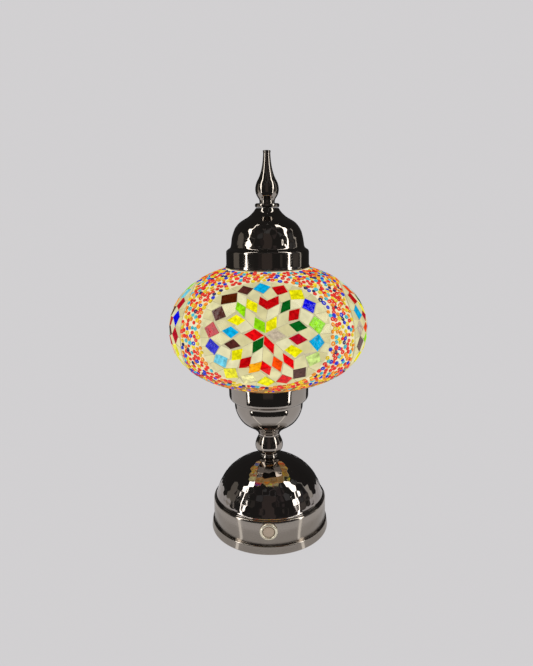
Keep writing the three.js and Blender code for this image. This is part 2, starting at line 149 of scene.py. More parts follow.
def arc_line(points, step=0.8):
    """A smooth line through (r, z) points; a point with a third value is a corner with that fillet radius, 0 for sharp."""
    runs, run = [], []
    for p in points:
        run.append(p)
        if len(p) > 2 and len(run) > 1:
            runs.append(run)
            run = [p]
    if len(run) > 1:
        runs.append(run)
    out = []
    for run in runs:
        Q = np.array([[q[0], q[1]] for q in run], float)
        if len(Q) == 2:
            pts = Q
        else:
            E = np.vstack([2 * Q[0] - Q[1], Q, 2 * Q[-1] - Q[-2]])
            pts = []
            for i in range(1, len(E) - 2):
                p0, p1, p2, p3 = E[i - 1 : i + 3]
                t0 = 0.0
                t1 = t0 + max(np.linalg.norm(p1 - p0), 1e-6) ** 0.5
                t2 = t1 + max(np.linalg.norm(p2 - p1), 1e-6) ** 0.5
                t3 = t2 + max(np.linalg.norm(p3 - p2), 1e-6) ** 0.5
                m = max(2, int(np.ceil(np.linalg.norm(p2 - p1) / step)))
                for t in np.linspace(t1, t2, m, endpoint=False):
                    a1 = (t1 - t) / (t1 - t0) * p0 + (t - t0) / (t1 - t0) * p1
                    a2 = (t2 - t) / (t2 - t1) * p1 + (t - t1) / (t2 - t1) * p2
                    a3 = (t3 - t) / (t3 - t2) * p2 + (t - t2) / (t3 - t2) * p3
                    b1 = (t2 - t) / (t2 - t0) * a1 + (t - t0) / (t2 - t0) * a2
                    b2 = (t3 - t) / (t3 - t1) * a2 + (t - t1) / (t3 - t1) * a3
                    pts.append((t2 - t) / (t2 - t1) * b1 + (t - t1) / (t2 - t1) * b2)
            pts.append(Q[-1])
            pts = np.array(pts)
        out.append(pts)
    line = out[0]
    for nxt in out[1:]:
        line = np.vstack([line[:-1], nxt])
    return fillets(line, [(p[0], p[1], p[2]) for p in points if len(p) > 2 and p[2] > 0])


def fillets(line, corners, closed=False):
    """Rounds the line's corners that lie at the given places."""
    L = [np.array(p, float) for p in line]
    for r, z, rad in corners:
        i = min(range(len(L)), key=lambda j: abs(L[j][0] - r) + abs(L[j][1] - z))
        if not closed and (i == 0 or i == len(L) - 1):
            continue
        B = L[i]
        back, t = [], 0.0
        j = i
        while t < rad and j > 0:
            t += np.linalg.norm(L[j] - L[j - 1])
            j -= 1
        over = t - rad
        d = L[j + 1] - L[j]
        P0 = L[j] + d / max(np.linalg.norm(d), 1e-9) * max(over, 0)
        k, t = i, 0.0
        while t < rad and k < len(L) - 1:
            t += np.linalg.norm(L[k + 1] - L[k])
            k += 1
        over = t - rad
        d = L[k - 1] - L[k]
        P1 = L[k] + d / max(np.linalg.norm(d), 1e-9) * max(over, 0)
        n = 7
        curve = [(1 - s) ** 2 * P0 + 2 * s * (1 - s) * B + s * s * P1 for s in np.linspace(0, 1, n)]
        L = L[: j + 1] + curve + L[k:]
        clean = [L[0]]
        for p in L[1:]:
            if np.linalg.norm(p - clean[-1]) > 1e-4:
                clean.append(p)
        L = clean
    return np.array(L)


def offset_line(line, d):
    """The line moved to its left by d."""
    L = np.asarray(line, float)
    t = np.gradient(L, axis=0)
    t /= np.maximum(np.linalg.norm(t, axis=1), 1e-9)[:, None]
    return L + d * np.c_[-t[:, 1], t[:, 0]]


def shell(line, thickness, every=4):
    """Closed profile of a sheet-metal shell: the outer line and a coarser inner one."""
    inner = offset_line(line, thickness)
    keep = sorted(set(list(range(0, len(line), every)) + [len(line) - 1]))
    return np.vstack([line, inner[keep][::-1]])


def poly_round(points, rad=0.25, closed=True):
    """Profile with every off-axis corner rounded by about rad."""
    P = [np.array(p[:2], float) for p in points]
    n = len(P)
    out = []
    for i, B in enumerate(P):
        A, C = P[i - 1], P[(i + 1) % n]
        on_axis = B[0] < 1e-6
        if on_axis or (not closed and i in (0, n - 1)):
            out.append(B)
            continue
        la, lc = np.linalg.norm(A - B), np.linalg.norm(C - B)
        r = min(rad, la * 0.45, lc * 0.45)
        if r < 1e-3:
            out.append(B)
            continue
        P0, P1 = B + (A - B) / la * r, B + (C - B) / lc * r
        for s in (0, 0.33, 0.67, 1.0):
            out.append((1 - s) ** 2 * P0 + 2 * s * (1 - s) * B + s * s * P1)
    return np.array(out)


def turned_piece(name, profile, seg, material, body, replaces, sharp=32, displace=None, place=None, up=UP):
    V, polys = revolve(profile, seg, displace)
    if place is not None:
        V = place(V)
    return piece(name, make_mesh(name, V, polys, sharp, True, up), material, body, replaces)


def join_meshes(parts):
    """(V, polys, material indices) of several parts as one."""
    Vs, P, M, n = [], {}, {}, 0
    for V, polys, mi in parts:
        for p in polys:
            k = p.shape[1]
            P.setdefault(k, []).append(np.asarray(p) + n)
            M.setdefault(k, []).append(np.full(len(p), mi) if np.isscalar(mi) else np.asarray(mi))
        Vs.append(V)
        n += len(V)
    keys = sorted(P)
    return np.vstack(Vs), [np.vstack(P[k]) for k in keys], np.concatenate([np.concatenate(M[k]) for k in keys])


# ------------------------------------------------------------------ materials
def new_mat(name):
    m = bpy.data.materials.new(name)
    m.use_nodes = True
    nt = m.node_tree
    bsdf = nt.nodes.get("Principled BSDF")
    return m, nt, bsdf


def node(nt, kind, **values):
    n = nt.nodes.new(kind)
    for k, v in values.items():
        if k in n.inputs:
            n.inputs[k].default_value = v
        else:
            setattr(n, k, v)
    return n


def ramp(nt, fac, lo, hi, a=0.35, b=0.65):
    r = nt.nodes.new("ShaderNodeMapRange")
    r.inputs["From Min"].default_value = a
    r.inputs["From Max"].default_value = b
    r.inputs["To Min"].default_value = lo
    r.inputs["To Max"].default_value = hi
    nt.links.new(fac, r.inputs["Value"])
    return r.outputs["Result"]


def mix_color(nt, fac, a, b):
    m = nt.nodes.new("ShaderNodeMix")
    m.data_type = "RGBA"
    if isinstance(fac, (int, float)):
        m.inputs[0].default_value = fac
    else:
        nt.links.new(fac, m.inputs[0])
    for s, v in ((6, a), (7, b)):
        if isinstance(v, (tuple, list)):
            m.inputs[s].default_value = (*v[:3], 1)
        else:
            nt.links.new(v, m.inputs[s])
    return m.outputs[2]


def coords(nt, scale=(1, 1, 1)):
    tc = nt.nodes.new("ShaderNodeTexCoord")
    mp = nt.nodes.new("ShaderNodeMapping")
    mp.inputs["Scale"].default_value = scale
    nt.links.new(tc.outputs["Object"], mp.inputs["Vector"])
    return mp.outputs["Vector"]


def noise(nt, vec, scale, detail=3.0, rough=0.5):
    n = nt.nodes.new("ShaderNodeTexNoise")
    n.inputs["Scale"].default_value = scale
    n.inputs["Detail"].default_value = detail
    n.inputs["Roughness"].default_value = rough
    nt.links.new(vec, n.inputs["Vector"])
    return n.outputs["Fac"]


def bump(nt, bsdf, height, strength, distance):
    b = nt.nodes.new("ShaderNodeBump")
    b.inputs["Strength"].default_value = strength
    b.inputs["Distance"].default_value = distance
    nt.links.new(height, b.inputs["Height"])
    nt.links.new(b.outputs["Normal"], bsdf.inputs["Normal"])


def srgb(r, g, b):
    return tuple((c / 255 / 12.92) if c / 255 <= 0.04045 else ((c / 255 + 0.055) / 1.055) ** 2.4 for c in (r, g, b))


def metal(name, color, rough=(0.07, 0.13), spun=0.0, smudge=60.0, dark=0.92, aniso=0.0, metallic=1.0):
    """Plated metal: cloudy roughness, faint colour drift, and fine turning lines where spun is set."""
    m, nt, b = new_mat(name)
    v = coords(nt)
    cloud = noise(nt, v, smudge, 4.0, 0.6)
    b.inputs["Metallic"].default_value = metallic
    nt.links.new(mix_color(nt, ramp(nt, cloud, 0.0, 1.0), tuple(c * dark for c in color), color), b.inputs["Base Color"])
    fine = noise(nt, v, smudge * 14, 3.0, 0.6)
    add = nt.nodes.new("ShaderNodeMath")
    add.operation = "ADD"
    nt.links.new(ramp(nt, cloud, rough[0], rough[1]), add.inputs[0])
    nt.links.new(ramp(nt, fine, -0.015, 0.02), add.inputs[1])
    nt.links.new(add.outputs[0], b.inputs["Roughness"])
    if aniso:
        tn = nt.nodes.new("ShaderNodeTangent")
        tn.direction_type = "RADIAL"
        tn.axis = "Z"
        nt.links.new(tn.outputs[0], b.inputs["Tangent"])
        b.inputs["Anisotropic"].default_value = aniso
        b.inputs["Anisotropic Rotation"].default_value = ANISO_TURN
    if spun:
        lines = noise(nt, coords(nt, (6.0, 6.0, 2600.0)), 1.0, 2.0, 0.5)
        bump(nt, b, lines, spun, 0.00002)
    else:
        bump(nt, b, noise(nt, v, 260.0, 2.0), 0.05, 0.0002)
    return m


def plastic(name, color, rough=0.5, grain=1800.0, strength=0.15, drift=0.15):
    m, nt, b = new_mat(name)
    v = coords(nt)
    big = noise(nt, v, 40.0)
    nt.links.new(mix_color(nt, ramp(nt, big, 0, 1), tuple(c * (1 - drift) for c in color), tuple(min(1, c * (1 + drift)) for c in color)), b.inputs["Base Color"])
    fine = noise(nt, v, grain, 2.0)
    nt.links.new(ramp(nt, fine, max(rough - 0.07, 0.02), min(rough + 0.07, 1.0)), b.inputs["Roughness"])
    bump(nt, b, fine, strength, 0.0001)
    return m


ANISO_TURN = 0.25
NICKEL = (0.405, 0.365, 0.325)
nickel = metal("black_nickel", NICKEL, (0.05, 0.10))
nickel_spun = metal("black_nickel_spun", (0.425, 0.382, 0.338), (0.15, 0.21), spun=0.15, aniso=0.9)
nickel_hammered = metal("black_nickel_hammered", (0.385, 0.35, 0.325), (0.035, 0.075), smudge=45)
button_metal = metal("button_metal", (0.97, 0.90, 0.70), (0.12, 0.2), smudge=120, metallic=0.6)
button_face = metal("button_face", (0.61, 0.49, 0.365), (0.32, 0.42), smudge=300, metallic=0.35)
steel = metal("zinc_steel", (0.62, 0.62, 0.60), (0.22, 0.34), smudge=150)
brass = metal("brass", (0.78, 0.60, 0.30), (0.18, 0.30), smudge=120)
black_plastic = plastic("black_plastic", (0.022, 0.022, 0.024), 0.5)
white_plastic = plastic("white_plastic", (0.82, 0.81, 0.78), 0.42, drift=0.03)
rubber = plastic("rubber", (0.02, 0.02, 0.02), 0.8, 900.0, 0.3)
board_green = plastic("solder_mask", (0.02, 0.14, 0.05), 0.35, 600.0, 0.1)
lead_red = plastic("lead_red", (0.35, 0.02, 0.02), 0.4)
cell_sleeve = plastic("cell_sleeve", (0.05, 0.08, 0.12), 0.3, 500.0, 0.05)


def glow_mat(name, color, glow, base=0.5, rough=0.12, texture=230.0, contrast=0.25, bump_d=0.0002, dark=None, coat=0.0, gloss=0.5):
    """Coloured glass lit from behind: its own glow with streaks and seeds in the glass, under a glossy uneven face."""
    m, nt, b = new_mat(name)
    v = coords(nt)
    n1 = noise(nt, v, texture, 3.0, 0.55)
    vo = nt.nodes.new("ShaderNodeTexVoronoi")
    vo.inputs["Scale"].default_value = texture * 1.7
    nt.links.new(v, vo.inputs["Vector"])
    seeds = ramp(nt, vo.outputs["Distance"], -contrast * 0.5, contrast * 0.4, 0.05, 0.6)
    s = nt.nodes.new("ShaderNodeMath")
    s.operation = "ADD"
    nt.links.new(ramp(nt, n1, 1 - contrast, 1 + contrast), s.inputs[0])
    nt.links.new(seeds, s.inputs[1])
    light = mix_color(nt, ramp(nt, noise(nt, v, texture * 0.35, 2.0), 0.0, 1.0), tuple(dark) if dark else tuple(c * 0.82 for c in color), color)
    mul = nt.nodes.new("ShaderNodeVectorMath")
    mul.operation = "SCALE"
    nt.links.new(light, mul.inputs[0])
    nt.links.new(s.outputs[0], mul.inputs["Scale"])
    nt.links.new(mul.outputs["Vector"], b.inputs["Emission Color"])
    b.inputs["Emission Strength"].default_value = glow
    nt.links.new(mix_color(nt, ramp(nt, n1, 0, 1), tuple(c * base * 0.8 for c in color), tuple(c * base for c in color)), b.inputs["Base Color"])
    nt.links.new(ramp(nt, n1, max(rough - 0.04, 0.02), rough + 0.06), b.inputs["Roughness"])
    b.inputs["Specular IOR Level"].default_value = gloss
    if coat:
        b.inputs["Coat Weight"].default_value = coat
    bump(nt, b, n1, 0.5, bump_d)
    return m


# ------------------------------------------------------------------ hammered surfaces
def dimple_field(line, pitch, seed, r_lo, z_lo, z_hi, depth, tilt=0.02, jitter=0.12, column=None):
    """Centres of hammer marks in staggered rows along a turned line, with a depth and a tilt for each."""
    g = np.random.default_rng(seed)
    L = np.asarray(line, float)
    s = np.r_[0, np.cumsum(np.linalg.norm(np.diff(L, axis=0), axis=1))]
    total = s[-1]
    rows = int(round(total / (pitch * 0.87)))
    C, D, T = [], [], []
    for i in range(rows):
        si = (i + 0.5) * total / rows
        r, z = np.interp(si, s, L[:, 0]), np.interp(si, s, L[:, 1])
        if z < z_lo or z > z_hi or r < r_lo:
            continue
        n = max(5, int(round(2 * math.pi * r / pitch)))
        ph = g.uniform(0, 2 * math.pi)
        if column is not None:
            # rows placed so that a mark stands at the bearing given for the slope of the metal there, on both sides
            ra, za = np.interp(max(si - 1, 0), s, L[:, 0]), np.interp(max(si - 1, 0), s, L[:, 1])
            rb, zb = np.interp(si + 1, s, L[:, 0]), np.interp(si + 1, s, L[:, 1])
            slope = math.degrees(math.atan2(ra - rb, zb - za))
            half = float(np.interp(slope, column[0], column[1]))
            k = max(1, int(round(n * 2 * half / 360)))
            n = max(5, int(round(360 * k / (2 * half))))
            ph = math.radians(column[2] + half) + g.uniform(-0.01, 0.01)
        for k in range(n):
            th = ph + (k + g.uniform(-jitter, jitter)) * 2 * math.pi / n
            sj = si + g.uniform(-jitter, jitter) * pitch
            rj, zj = np.interp(sj, s, L[:, 0]), np.interp(sj, s, L[:, 1])
            C.append((rj * math.sin(th), -rj * math.cos(th), zj))
            D.append(g.uniform(0.85, 1.15) * depth)
            T.append(g.normal(0, tilt, 3))
    return np.array(C), np.array(D), np.array(T)


def hammered(line, field, r0, fade):
    """Displacement of the outer rows of a shell by hammer marks; fade(z, r) is 0 where the metal is left plain."""
    C, D, T = field
    kd = kdtree.KDTree(len(C))
    for i, c in enumerate(C):
        kd.insert(Vector(c), i)
    kd.balance()
    L = np.asarray(line, float)
    t = np.gradient(L, axis=0)
    t /= np.maximum(np.linalg.norm(t, axis=1), 1e-9)[:, None]
    nr, nz = t[:, 1], -t[:, 0]  # outward of a line that goes up on its outer side
    order = np.argsort(L[:, 1])

    def displace(V):
        R = np.hypot(V[:, 0], V[:, 1])
        Z = V[:, 2]
        out = V.copy()
        on = np.zeros(len(V), bool)
        # only vertices on the outer line
        for i in range(len(V)):
            pass
        rr = np.interp(Z, L[order, 1], L[order, 0])
        on = np.abs(R - rr) < 0.05
        for i in np.nonzero(on)[0]:
            f = fade(Z[i], R[i])
            if f <= 0:
                continue
            p = V[i]
            hs = []
            for co, j, d in kd.find_n(Vector(p), 3):
                h = -D[j] * (1 - (d / r0) ** 2) + float(np.dot(T[j], p - C[j]))
                hs.append(h)
            hs = np.array(hs)
            k = 0.02
            m = hs.min()
            h = m - k * math.log(float(np.sum(np.exp(-(hs - m) / k))))
            h = min(h, 0.0) * f
            a = np.interp(Z[i], L[order, 1], nr[order])
            b = np.interp(Z[i], L[order, 1], nz[order])
            q = math.hypot(a, b) or 1.0
            a, b = a / q, b / q
            c, s_ = p[0] / max(R[i], 1e-6), p[1] / max(R[i], 1e-6)
            out[i] = (p[0] + h * a * c, p[1] + h * a * s_, p[2] + h * b)
        return out

    return displace


def smoothstep(x, a, b):
    t = min(max((x - a) / (b - a), 0.0), 1.0)
    return t * t * (3 - 2 * t)


# ------------------------------------------------------------------ base
band_outer = arc_line(
    [
        (56.0, 0.5, 0),
        (56.7, 0.75),
        (56.85, 1.5, 0),
        (56.55, 4.0),
        (56.05, 7.4, 0),
        (55.95, 8.0),
        (55.5, 8.35, 0),
        (54.35, 8.42, 0),
        (54.3, 9.0),
        (54.62, 9.6, 0),
        (54.5, 29.8, 0),
        (54.35, 30.55),
        (53.95, 31.3),
        (53.3, 31.85),
        (52.5, 32.1),
        (51.6, 32.2, 0),
        (50.0, 32.2, 0),
    ],
    0.5,
)
band_inner = [(50.0, 31.2), (52.4, 31.2), (53.2, 29.8), (53.2, 8.6), (54.4, 7.0), (55.4, 1.6), (55.4, 0.6)]
V, polys = revolve(np.vstack([band_outer, band_inner]), 192)
band_me = make_mesh("band_tmp", V, polys, 40, True, 0.0)
band = piece("band", band_me, nickel_spun, "base", ("base_band",))
# the opening for the push button, cut as a solid; the screw lugs follow as a piece of their own
cutter_V, cutter_P = revolve([(0, -9), (6.7, -9), (6.7, 9), (0, 9)], 64)
cutter_V = np.c_[cutter_V[:, 0], -55 - cutter_V[:, 2], 21.5 + cutter_V[:, 1]]
cutter = bpy.data.objects.new("cutter", make_mesh("cutter", cutter_V, cutter_P, None, False))
bpy.context.scene.collection.objects.link(cutter)
mod = band.modifiers.new("hole", "BOOLEAN")
mod.operation, mod.object, mod.solver = "DIFFERENCE", cutter, "EXACT"
bpy.context.view_layer.update()
dg = bpy.context.evaluated_depsgraph_get()
cut_me = bpy.data.meshes.new_from_object(band.evaluated_get(dg))
band.modifiers.clear()
band.data = cut_me
bpy.data.objects.remove(cutter)
band.data.polygons.foreach_set("use_smooth", np.ones(len(band.data.polygons), bool))
band.data.set_sharp_from_angle(angle=math.radians(35))


def box_part(x0, y0, z0, x1, y1, z1, bev=0.0):
    V = np.array([[x, y, z] for z in (z0, z1) for y in (y0, y1) for x in (x0, x1)], float)
    F = np.array([[0, 2, 3, 1], [4, 5, 7, 6], [0, 1, 5, 4], [2, 6, 7, 3], [0, 4, 6, 2], [1, 3, 7, 5]])
    return V, [F]


def rounded_box(x0, y0, z0, x1, y1, z1, r=0.6, n=4):
    """Box with its corners rounded in plan and small chamfers above and below."""
    out = []
    for cx, cy, a0 in ((x1 - r, y1 - r, 0), (x0 + r, y1 - r, 90), (x0 + r, y0 + r, 180), (x1 - r, y0 + r, 270)):
        for i in range(n + 1):
            a = math.radians(a0 + 90 * i / n)
            out.append((cx, cy, math.cos(a), math.sin(a)))
    c = min(r * 0.5, (z1 - z0) * 0.3)
    levels = [(z0, r - c), (z0 + c, r), (z1 - c, r), (z1, r - c)]
    V, F = [], []
    m = len(out)
    for z, rad in levels:
        for cx, cy, dx, dy in out:
            V.append((cx + dx * rad, cy + dy * rad, z))
    for k in range(3):
        for i in range(m):
            j = (i + 1) % m
            F.append((k * m + i, k * m + j, (k + 1) * m + j, (k + 1) * m + i))
    top = [3 * m + i for i in range(m)]
    bottom = [m - 1 - i for i in range(m)]
    return np.array(V), [np.array(F), np.array([top, bottom])]


lug_parts = []
for a in (90, 210, 330):
    Vb, Pb = rounded_box(45.5, -4.5, 4.0, 54.6, 4.5, 6.0, 1.2)
    t = math.radians(a)
    Vb = np.c_[Vb[:, 0] * math.cos(t) - Vb[:, 1] * math.sin(t), Vb[:, 0] * math.sin(t) + Vb[:, 1] * math.cos(t), Vb[:, 2]]
    lug_parts.append((Vb, Pb, 0))
V, P, _ = join_meshes(lug_parts)
piece("cover_lugs", make_mesh("cover_lugs", V, P, 40), steel, "base")

# hammered dome with a small concave fillet where it meets the band
dome_outer = arc_line(
    [
        (53.0, 30.9, 0),
        (53.1, 31.15),
        (52.9, 31.4),
        (52.3, 31.75),
        (51.75, 32.3),
        (51.4, 33.0),
        (51.15, 34.0),
        (50.85, 35.0),
        (50.35, 36.6),
        (48.95, 40.3),
        (47.1, 44.1),
        (44.65, 48.3),
        (41.65, 52.3),
        (37.9, 56.2),
        (33.2, 59.9),
        (28.3, 63.0),
        (23.2, 65.6),
        (17.8, 67.8),
        (13.2, 69.2),
        (9.5, 69.65),
        (5.3, 69.7, 0),
    ],
    0.42,
)
dome_field = dimple_field(
    dome_outer, 6.5, 5, 13.5, 34.5, 69.0, 0.195, 0.014, 0.08,
    ([0, 15, 25, 30, 35, 40, 45, 60, 90], [28.4, 28.8, 29.4, 28.4, 26.6, 23.6, 18.2, 18, 20], 1.3),
)
dome_fade = lambda z, r: smoothstep(z, 33.6, 35.2) * smoothstep(r, 12.5, 14.5)
turned_piece(
    "dome_shell", shell(dome_outer, 1.0, 6), 400, nickel_hammered, "base", ("dome",), 40, hammered(dome_outer, dome_field, 3.75, dome_fade)
)

# ------------------------------------------------------------------ push button
FLANGE_Y, BUTTON_Z = -57.2, 21.5


def as_switch(V):
    return np.c_[V[:, 0], FLANGE_Y + V[:, 2], BUTTON_Z - V[:, 1]]


bezel = poly_round(
    [(0, 22.8), (6.3, 22.8), (6.3, 2.25), (8.1, 2.25), (8.1, 1.45), (7.95, 0.95), (7.6, 0.5), (7.1, 0.15), (6.6, 0.0), (6.15, 0.1), (5.8, 0.4), (5.55, 0.9), (5.5, 1.5), (5.5, 21.2), (0, 21.2)],
    0.12,
)
turned_piece("button_bezel", bezel, 96, button_metal, "base", ("switch_body",), 40, None, as_switch)
cap_p = poly_round([(0, 0.95), (2.2, 0.92), (3.8, 0.8), (4.35, 0.62), (4.75, 0.6), (5.05, 0.85), (5.2, 1.3), (5.2, 7.5), (0, 7.5)], 0.1)
turned_piece("button_face_cap", cap_p, 96, button_face, "button", ("button_cap",), 40, None, as_switch)


# ------------------------------------------------------------------ stem, cup
stem_line = arc_line(
    [
        (5.3, 70.0, 0),
        (8.55, 70.0, 0.1),
        (8.7, 70.2),
        (8.6, 70.55),
        (8.1, 71.2),
        (7.75, 72.0),
        (7.65, 73.0),
        (7.9, 74.1),
        (8.75, 75.1),
        (10.2, 75.95),
        (11.7, 76.85),
        (12.6, 78.0),
        (13.05, 79.4),
        (13.25, 81.4),
        (13.05, 83.6),
        (12.5, 85.8),
        (11.6, 88.0),
        (10.7, 89.8),
        (10.15, 91.0),
        (10.05, 91.6, 0),
        (9.8, 91.85, 0),
        (5.3, 91.85, 0),
    ],
    0.35,
)
turned_piece("stem_baluster", stem_line, 128, nickel, "base", ("stem",), 40)

cup_outer = arc_line(
    [
        (5.3, 92.1, 0),
        (9.8, 92.1, 0),
        (10.05, 92.35, 0),
        (10.15, 93.2),
        (10.7, 94.6),
        (12.0, 96.3),
        (14.0, 98.2),
        (16.8, 100.3),
        (19.8, 102.2),
        (22.6, 104.0),
        (25.2, 106.2),
        (27.4, 108.9),
        (29.4, 112.3),
        (30.8, 115.6),
        (31.7, 118.6),
        (32.15, 121.2),
        (32.3, 123.6),
        (32.35, 125.4),
        (32.6, 126.5),
        (33.0, 127.4, 0),
        (33.2, 127.6, 0),
        (33.9, 127.85),
        (35.2, 128.5),
        (36.3, 129.5),
        (37.0, 130.7),
        (37.3, 131.8, 0),
        (37.35, 132.2, 0),
        (37.5, 144.1, 0),
        (37.45, 144.6),
        (37.25, 145.05),
        (36.95, 145.3),
        (36.55, 145.4, 0),
    ],
    0.45,
)
turned_piece("cup_shell", shell(cup_outer, 1.0, 5), 160, nickel, "base", ("cup",), 38)

# ------------------------------------------------------------------ cap, collar, finial
cap_outer = arc_line(
    [
        (37.1, 252.35, 0),
        (37.95, 252.25, 0.2),
        (38.0, 252.8),
        (37.5, 253.8),
        (37.25, 254.8, 0),
        (37.15, 265.6, 0),
        (36.95, 266.7),
        (36.3, 267.7),
        (35.3, 268.4, 0),
        (33.7, 269.6),
        (33.1, 270.6, 0),
        (32.75, 272.2),
        (32.35, 275.0),
        (31.8, 278.6),
        (31.05, 281.6),
        (30.1, 284.3),
        (28.7, 287.2),
        (26.6, 289.9),
        (23.6, 292.5),
        (20.2, 294.6),
        (17.0, 296.5),
        (14.4, 298.7),
        (12.4, 300.8),
        (10.9, 302.9),
        (10.0, 304.2, 0),
        (3.35, 304.3, 0),
    ],
    0.42,
)
cap_field = dimple_field(cap_outer, 5.4, 9, 10.0, 271.5, 291.0, 0.12, 0.03, 0.2)
cap_fade = lambda z, r: smoothstep(z, 271.2, 273.0) * (1 - smoothstep(z, 288.5, 292.0))
turned_piece("cap_shell", shell(cap_outer, 1.0, 6), 320, nickel, "cap", ("top_cap",), 38, hammered(cap_outer, cap_field, 3.1, cap_fade))

collar_line = arc_line(
    [(3.35, 304.6, 0), (9.6, 304.6, 0.1), (10.2, 304.85), (10.75, 305.6), (10.85, 306.4), (10.7, 307.3), (10.1, 308.0), (9.5, 308.2), (8.6, 308.2, 0), (3.35, 308.2, 0)],
    0.3,
)
turned_piece("collar_ring", collar_line, 128, nickel, "cap", ("finial_collar",), 40)

finial_line = arc_line(
    [
        (3.35, 308.5, 0),
        (6.9, 308.5, 0.2),
        (6.75, 309.6),
        (6.95, 311.0),
        (7.6, 312.4),
        (8.5, 313.7),
        (9.3, 315.2),
        (10.0, 317.2),
        (10.35, 319.6),
        (10.2, 322.0),
        (9.7, 324.4),
        (8.85, 326.7),
        (7.7, 328.9),
        (6.7, 331.0),
        (5.75, 333.6),
        (4.95, 336.4),
        (4.25, 339.6),
        (3.7, 343.2),
        (3.35, 346.8),
        (3.15, 350.2),
        (3.2, 351.3),
        (3.42, 352.1),
        (3.3, 352.6),
        (2.9, 352.8, 0),
        (0, 352.8, 0),
    ],
    0.4,
)
finial_profile = np.vstack([finial_line, [(0, 319.0), (3.35, 319.0)]])
turned_piece("finial_spire", finial_profile, 128, nickel, "finial", ("finial",), 40)

# ------------------------------------------------------------------ globe surface
GA, GZ = 90.4, 198.0
UPPER, LOWER = (58.6, 2.1), (54.8, 2.32)  # half height and power above and below the widest line


def project(P, d):
    """Points (relative to the globe's centre) moved onto the surface d inside the outermost one."""
    a = GA - d
    P = np.array(P, float)
    for _ in range(5):
        r = np.maximum(np.hypot(P[:, 0], P[:, 1]), 1e-9)
        h = P[:, 2]
        b = np.where(h >= 0, UPPER[0], LOWER[0]) - d
        n = np.where(h >= 0, UPPER[1], LOWER[1])
        F = (r / a) ** n + (np.abs(h) / b) ** n - 1
        gr = n / a * (r / a) ** (n - 1)
        gh = n / b * (np.abs(h) / b) ** (n - 1) * np.sign(h)
        g2 = gr**2 + gh**2
        k = F / g2
        P[:, 0] -= k * gr * P[:, 0] / r
        P[:, 1] -= k * gr * P[:, 1] / r
        P[:, 2] -= k * gh
    return P


def normals(P):
    r = np.maximum(np.hypot(P[:, 0], P[:, 1]), 1e-9)
    h = P[:, 2]
    b = np.where(h >= 0, UPPER[0], LOWER[0])
    n = np.where(h >= 0, UPPER[1], LOWER[1])
    gr = n / GA * (r / GA) ** (n - 1)
    gh = n / b * (np.abs(h) / b) ** (n - 1) * np.sign(h)
    N = np.c_[gr * P[:, 0] / r, gr * P[:, 1] / r, gh]
    return N / np.linalg.norm(N, axis=1)[:, None]


def meridian(d, end, n=121):
    """The globe's outline d inside its outer surface, from its lower to its upper mouth of radius end."""
    out = []
    for (b, p), lo_half in ((LOWER, True), (UPPER, False)):
        t_end = math.acos((end / (GA - d)) ** (p / 2))
        t = np.linspace(0, t_end, n // 2 + 1)
        r = (GA - d) * np.cos(t) ** (2 / p)
        z = (b - d) * np.sin(t) ** (2 / p)
        out.append(np.c_[r, GZ - z][::-1] if lo_half else np.c_[r, GZ + z][1:])
    return np.vstack(out)


def geodesic(psi, h, rho, phi, steps=28):
    """Surface points at distance rho and bearing phi (anticlockwise from the viewer's right) from a flower's centre."""
    c = project(np.array([[GA * math.sin(psi), -GA * math.cos(psi), h]]), 0.0)
    N = normals(c)[0]
    ex = np.array([math.cos(psi), math.sin(psi), 0.0])
    ey = np.cross(N, ex)
    if ey[2] < 0:
        ey = -ey
    rho, phi = np.asarray(rho, float), np.asarray(phi, float)
    P = np.repeat(c, len(rho), 0)
    T = np.cos(phi)[:, None] * ex + np.sin(phi)[:, None] * ey
    for _ in range(steps):
        P = project(P + T * (rho / steps)[:, None], 0.0)
        Np = normals(P)
        T -= np.sum(T * Np, 1)[:, None] * Np
        T /= np.linalg.norm(T, axis=1)[:, None]
    return P


FLOWERS = [(math.radians(-0.7), 11.7), (math.radians(89.3), 1.5), (math.radians(179.3), 8.0), (math.radians(-88.7), 1.5)]
TURN = [0.0, 0.0, 7.0, -12.0]  # of the star in its round ground, degrees


def border_radius(phi):
    """Edge of a flower's round ground along its bearing, a little narrower above and below than at the sides."""
    phi = np.asarray(phi, float)
    return np.maximum(54.3 - 2.4 * np.cos(2 * (phi - math.pi / 2)) - 1.2 * np.cos(4 * phi), 51.6)



# colours of tiles as seen lit
TILE = {
    "red": srgb(190, 5, 10),
    "scarlet": srgb(230, 8, 14),
    "crimson": srgb(184, 8, 34),
    "orange": srgb(242, 72, 6),
    "amber": srgb(252, 166, 8),
    "yellow": srgb(236, 229, 8),
    "lemon": srgb(234, 227, 158),
    "lime": srgb(146, 222, 10),
    "lime_pale": srgb(198, 224, 130),
    "green": srgb(4, 92, 24),
    "cyan": srgb(4, 168, 220),
    "sky": srgb(112, 204, 226),
    "blue": srgb(50, 50, 198),
    "royal": srgb(4, 4, 220),
    "brown": srgb(82, 28, 4),
    "umber": srgb(84, 40, 34),
    "plum": srgb(86, 54, 48),
    "clear": srgb(196, 180, 156),
}
# ring colours from the bearing of 90 degrees, going clockwise
RING1 = ["yellow", "clear", "scarlet", "green", "scarlet", "lime"]
RING3 = ["red", "green", "red", "green", "crimson", "yellow", "red", "orange", "scarlet", "amber", "red", "yellow", "umber", "cyan", "yellow", "lime", "yellow", "red"]
RING5 = ["red", "yellow", "royal", "lime", "cyan", "lime", "plum", "scarlet", "yellow", "lemon", "yellow", "cyan", "blue", "crimson", "umber", "brown", "umber", "cyan"]
PALETTE = ["red", "scarlet", "crimson", "orange", "amber", "yellow", "yellow", "lemon", "lime", "green", "cyan", "sky", "blue", "royal", "brown", "umber", "clear"]


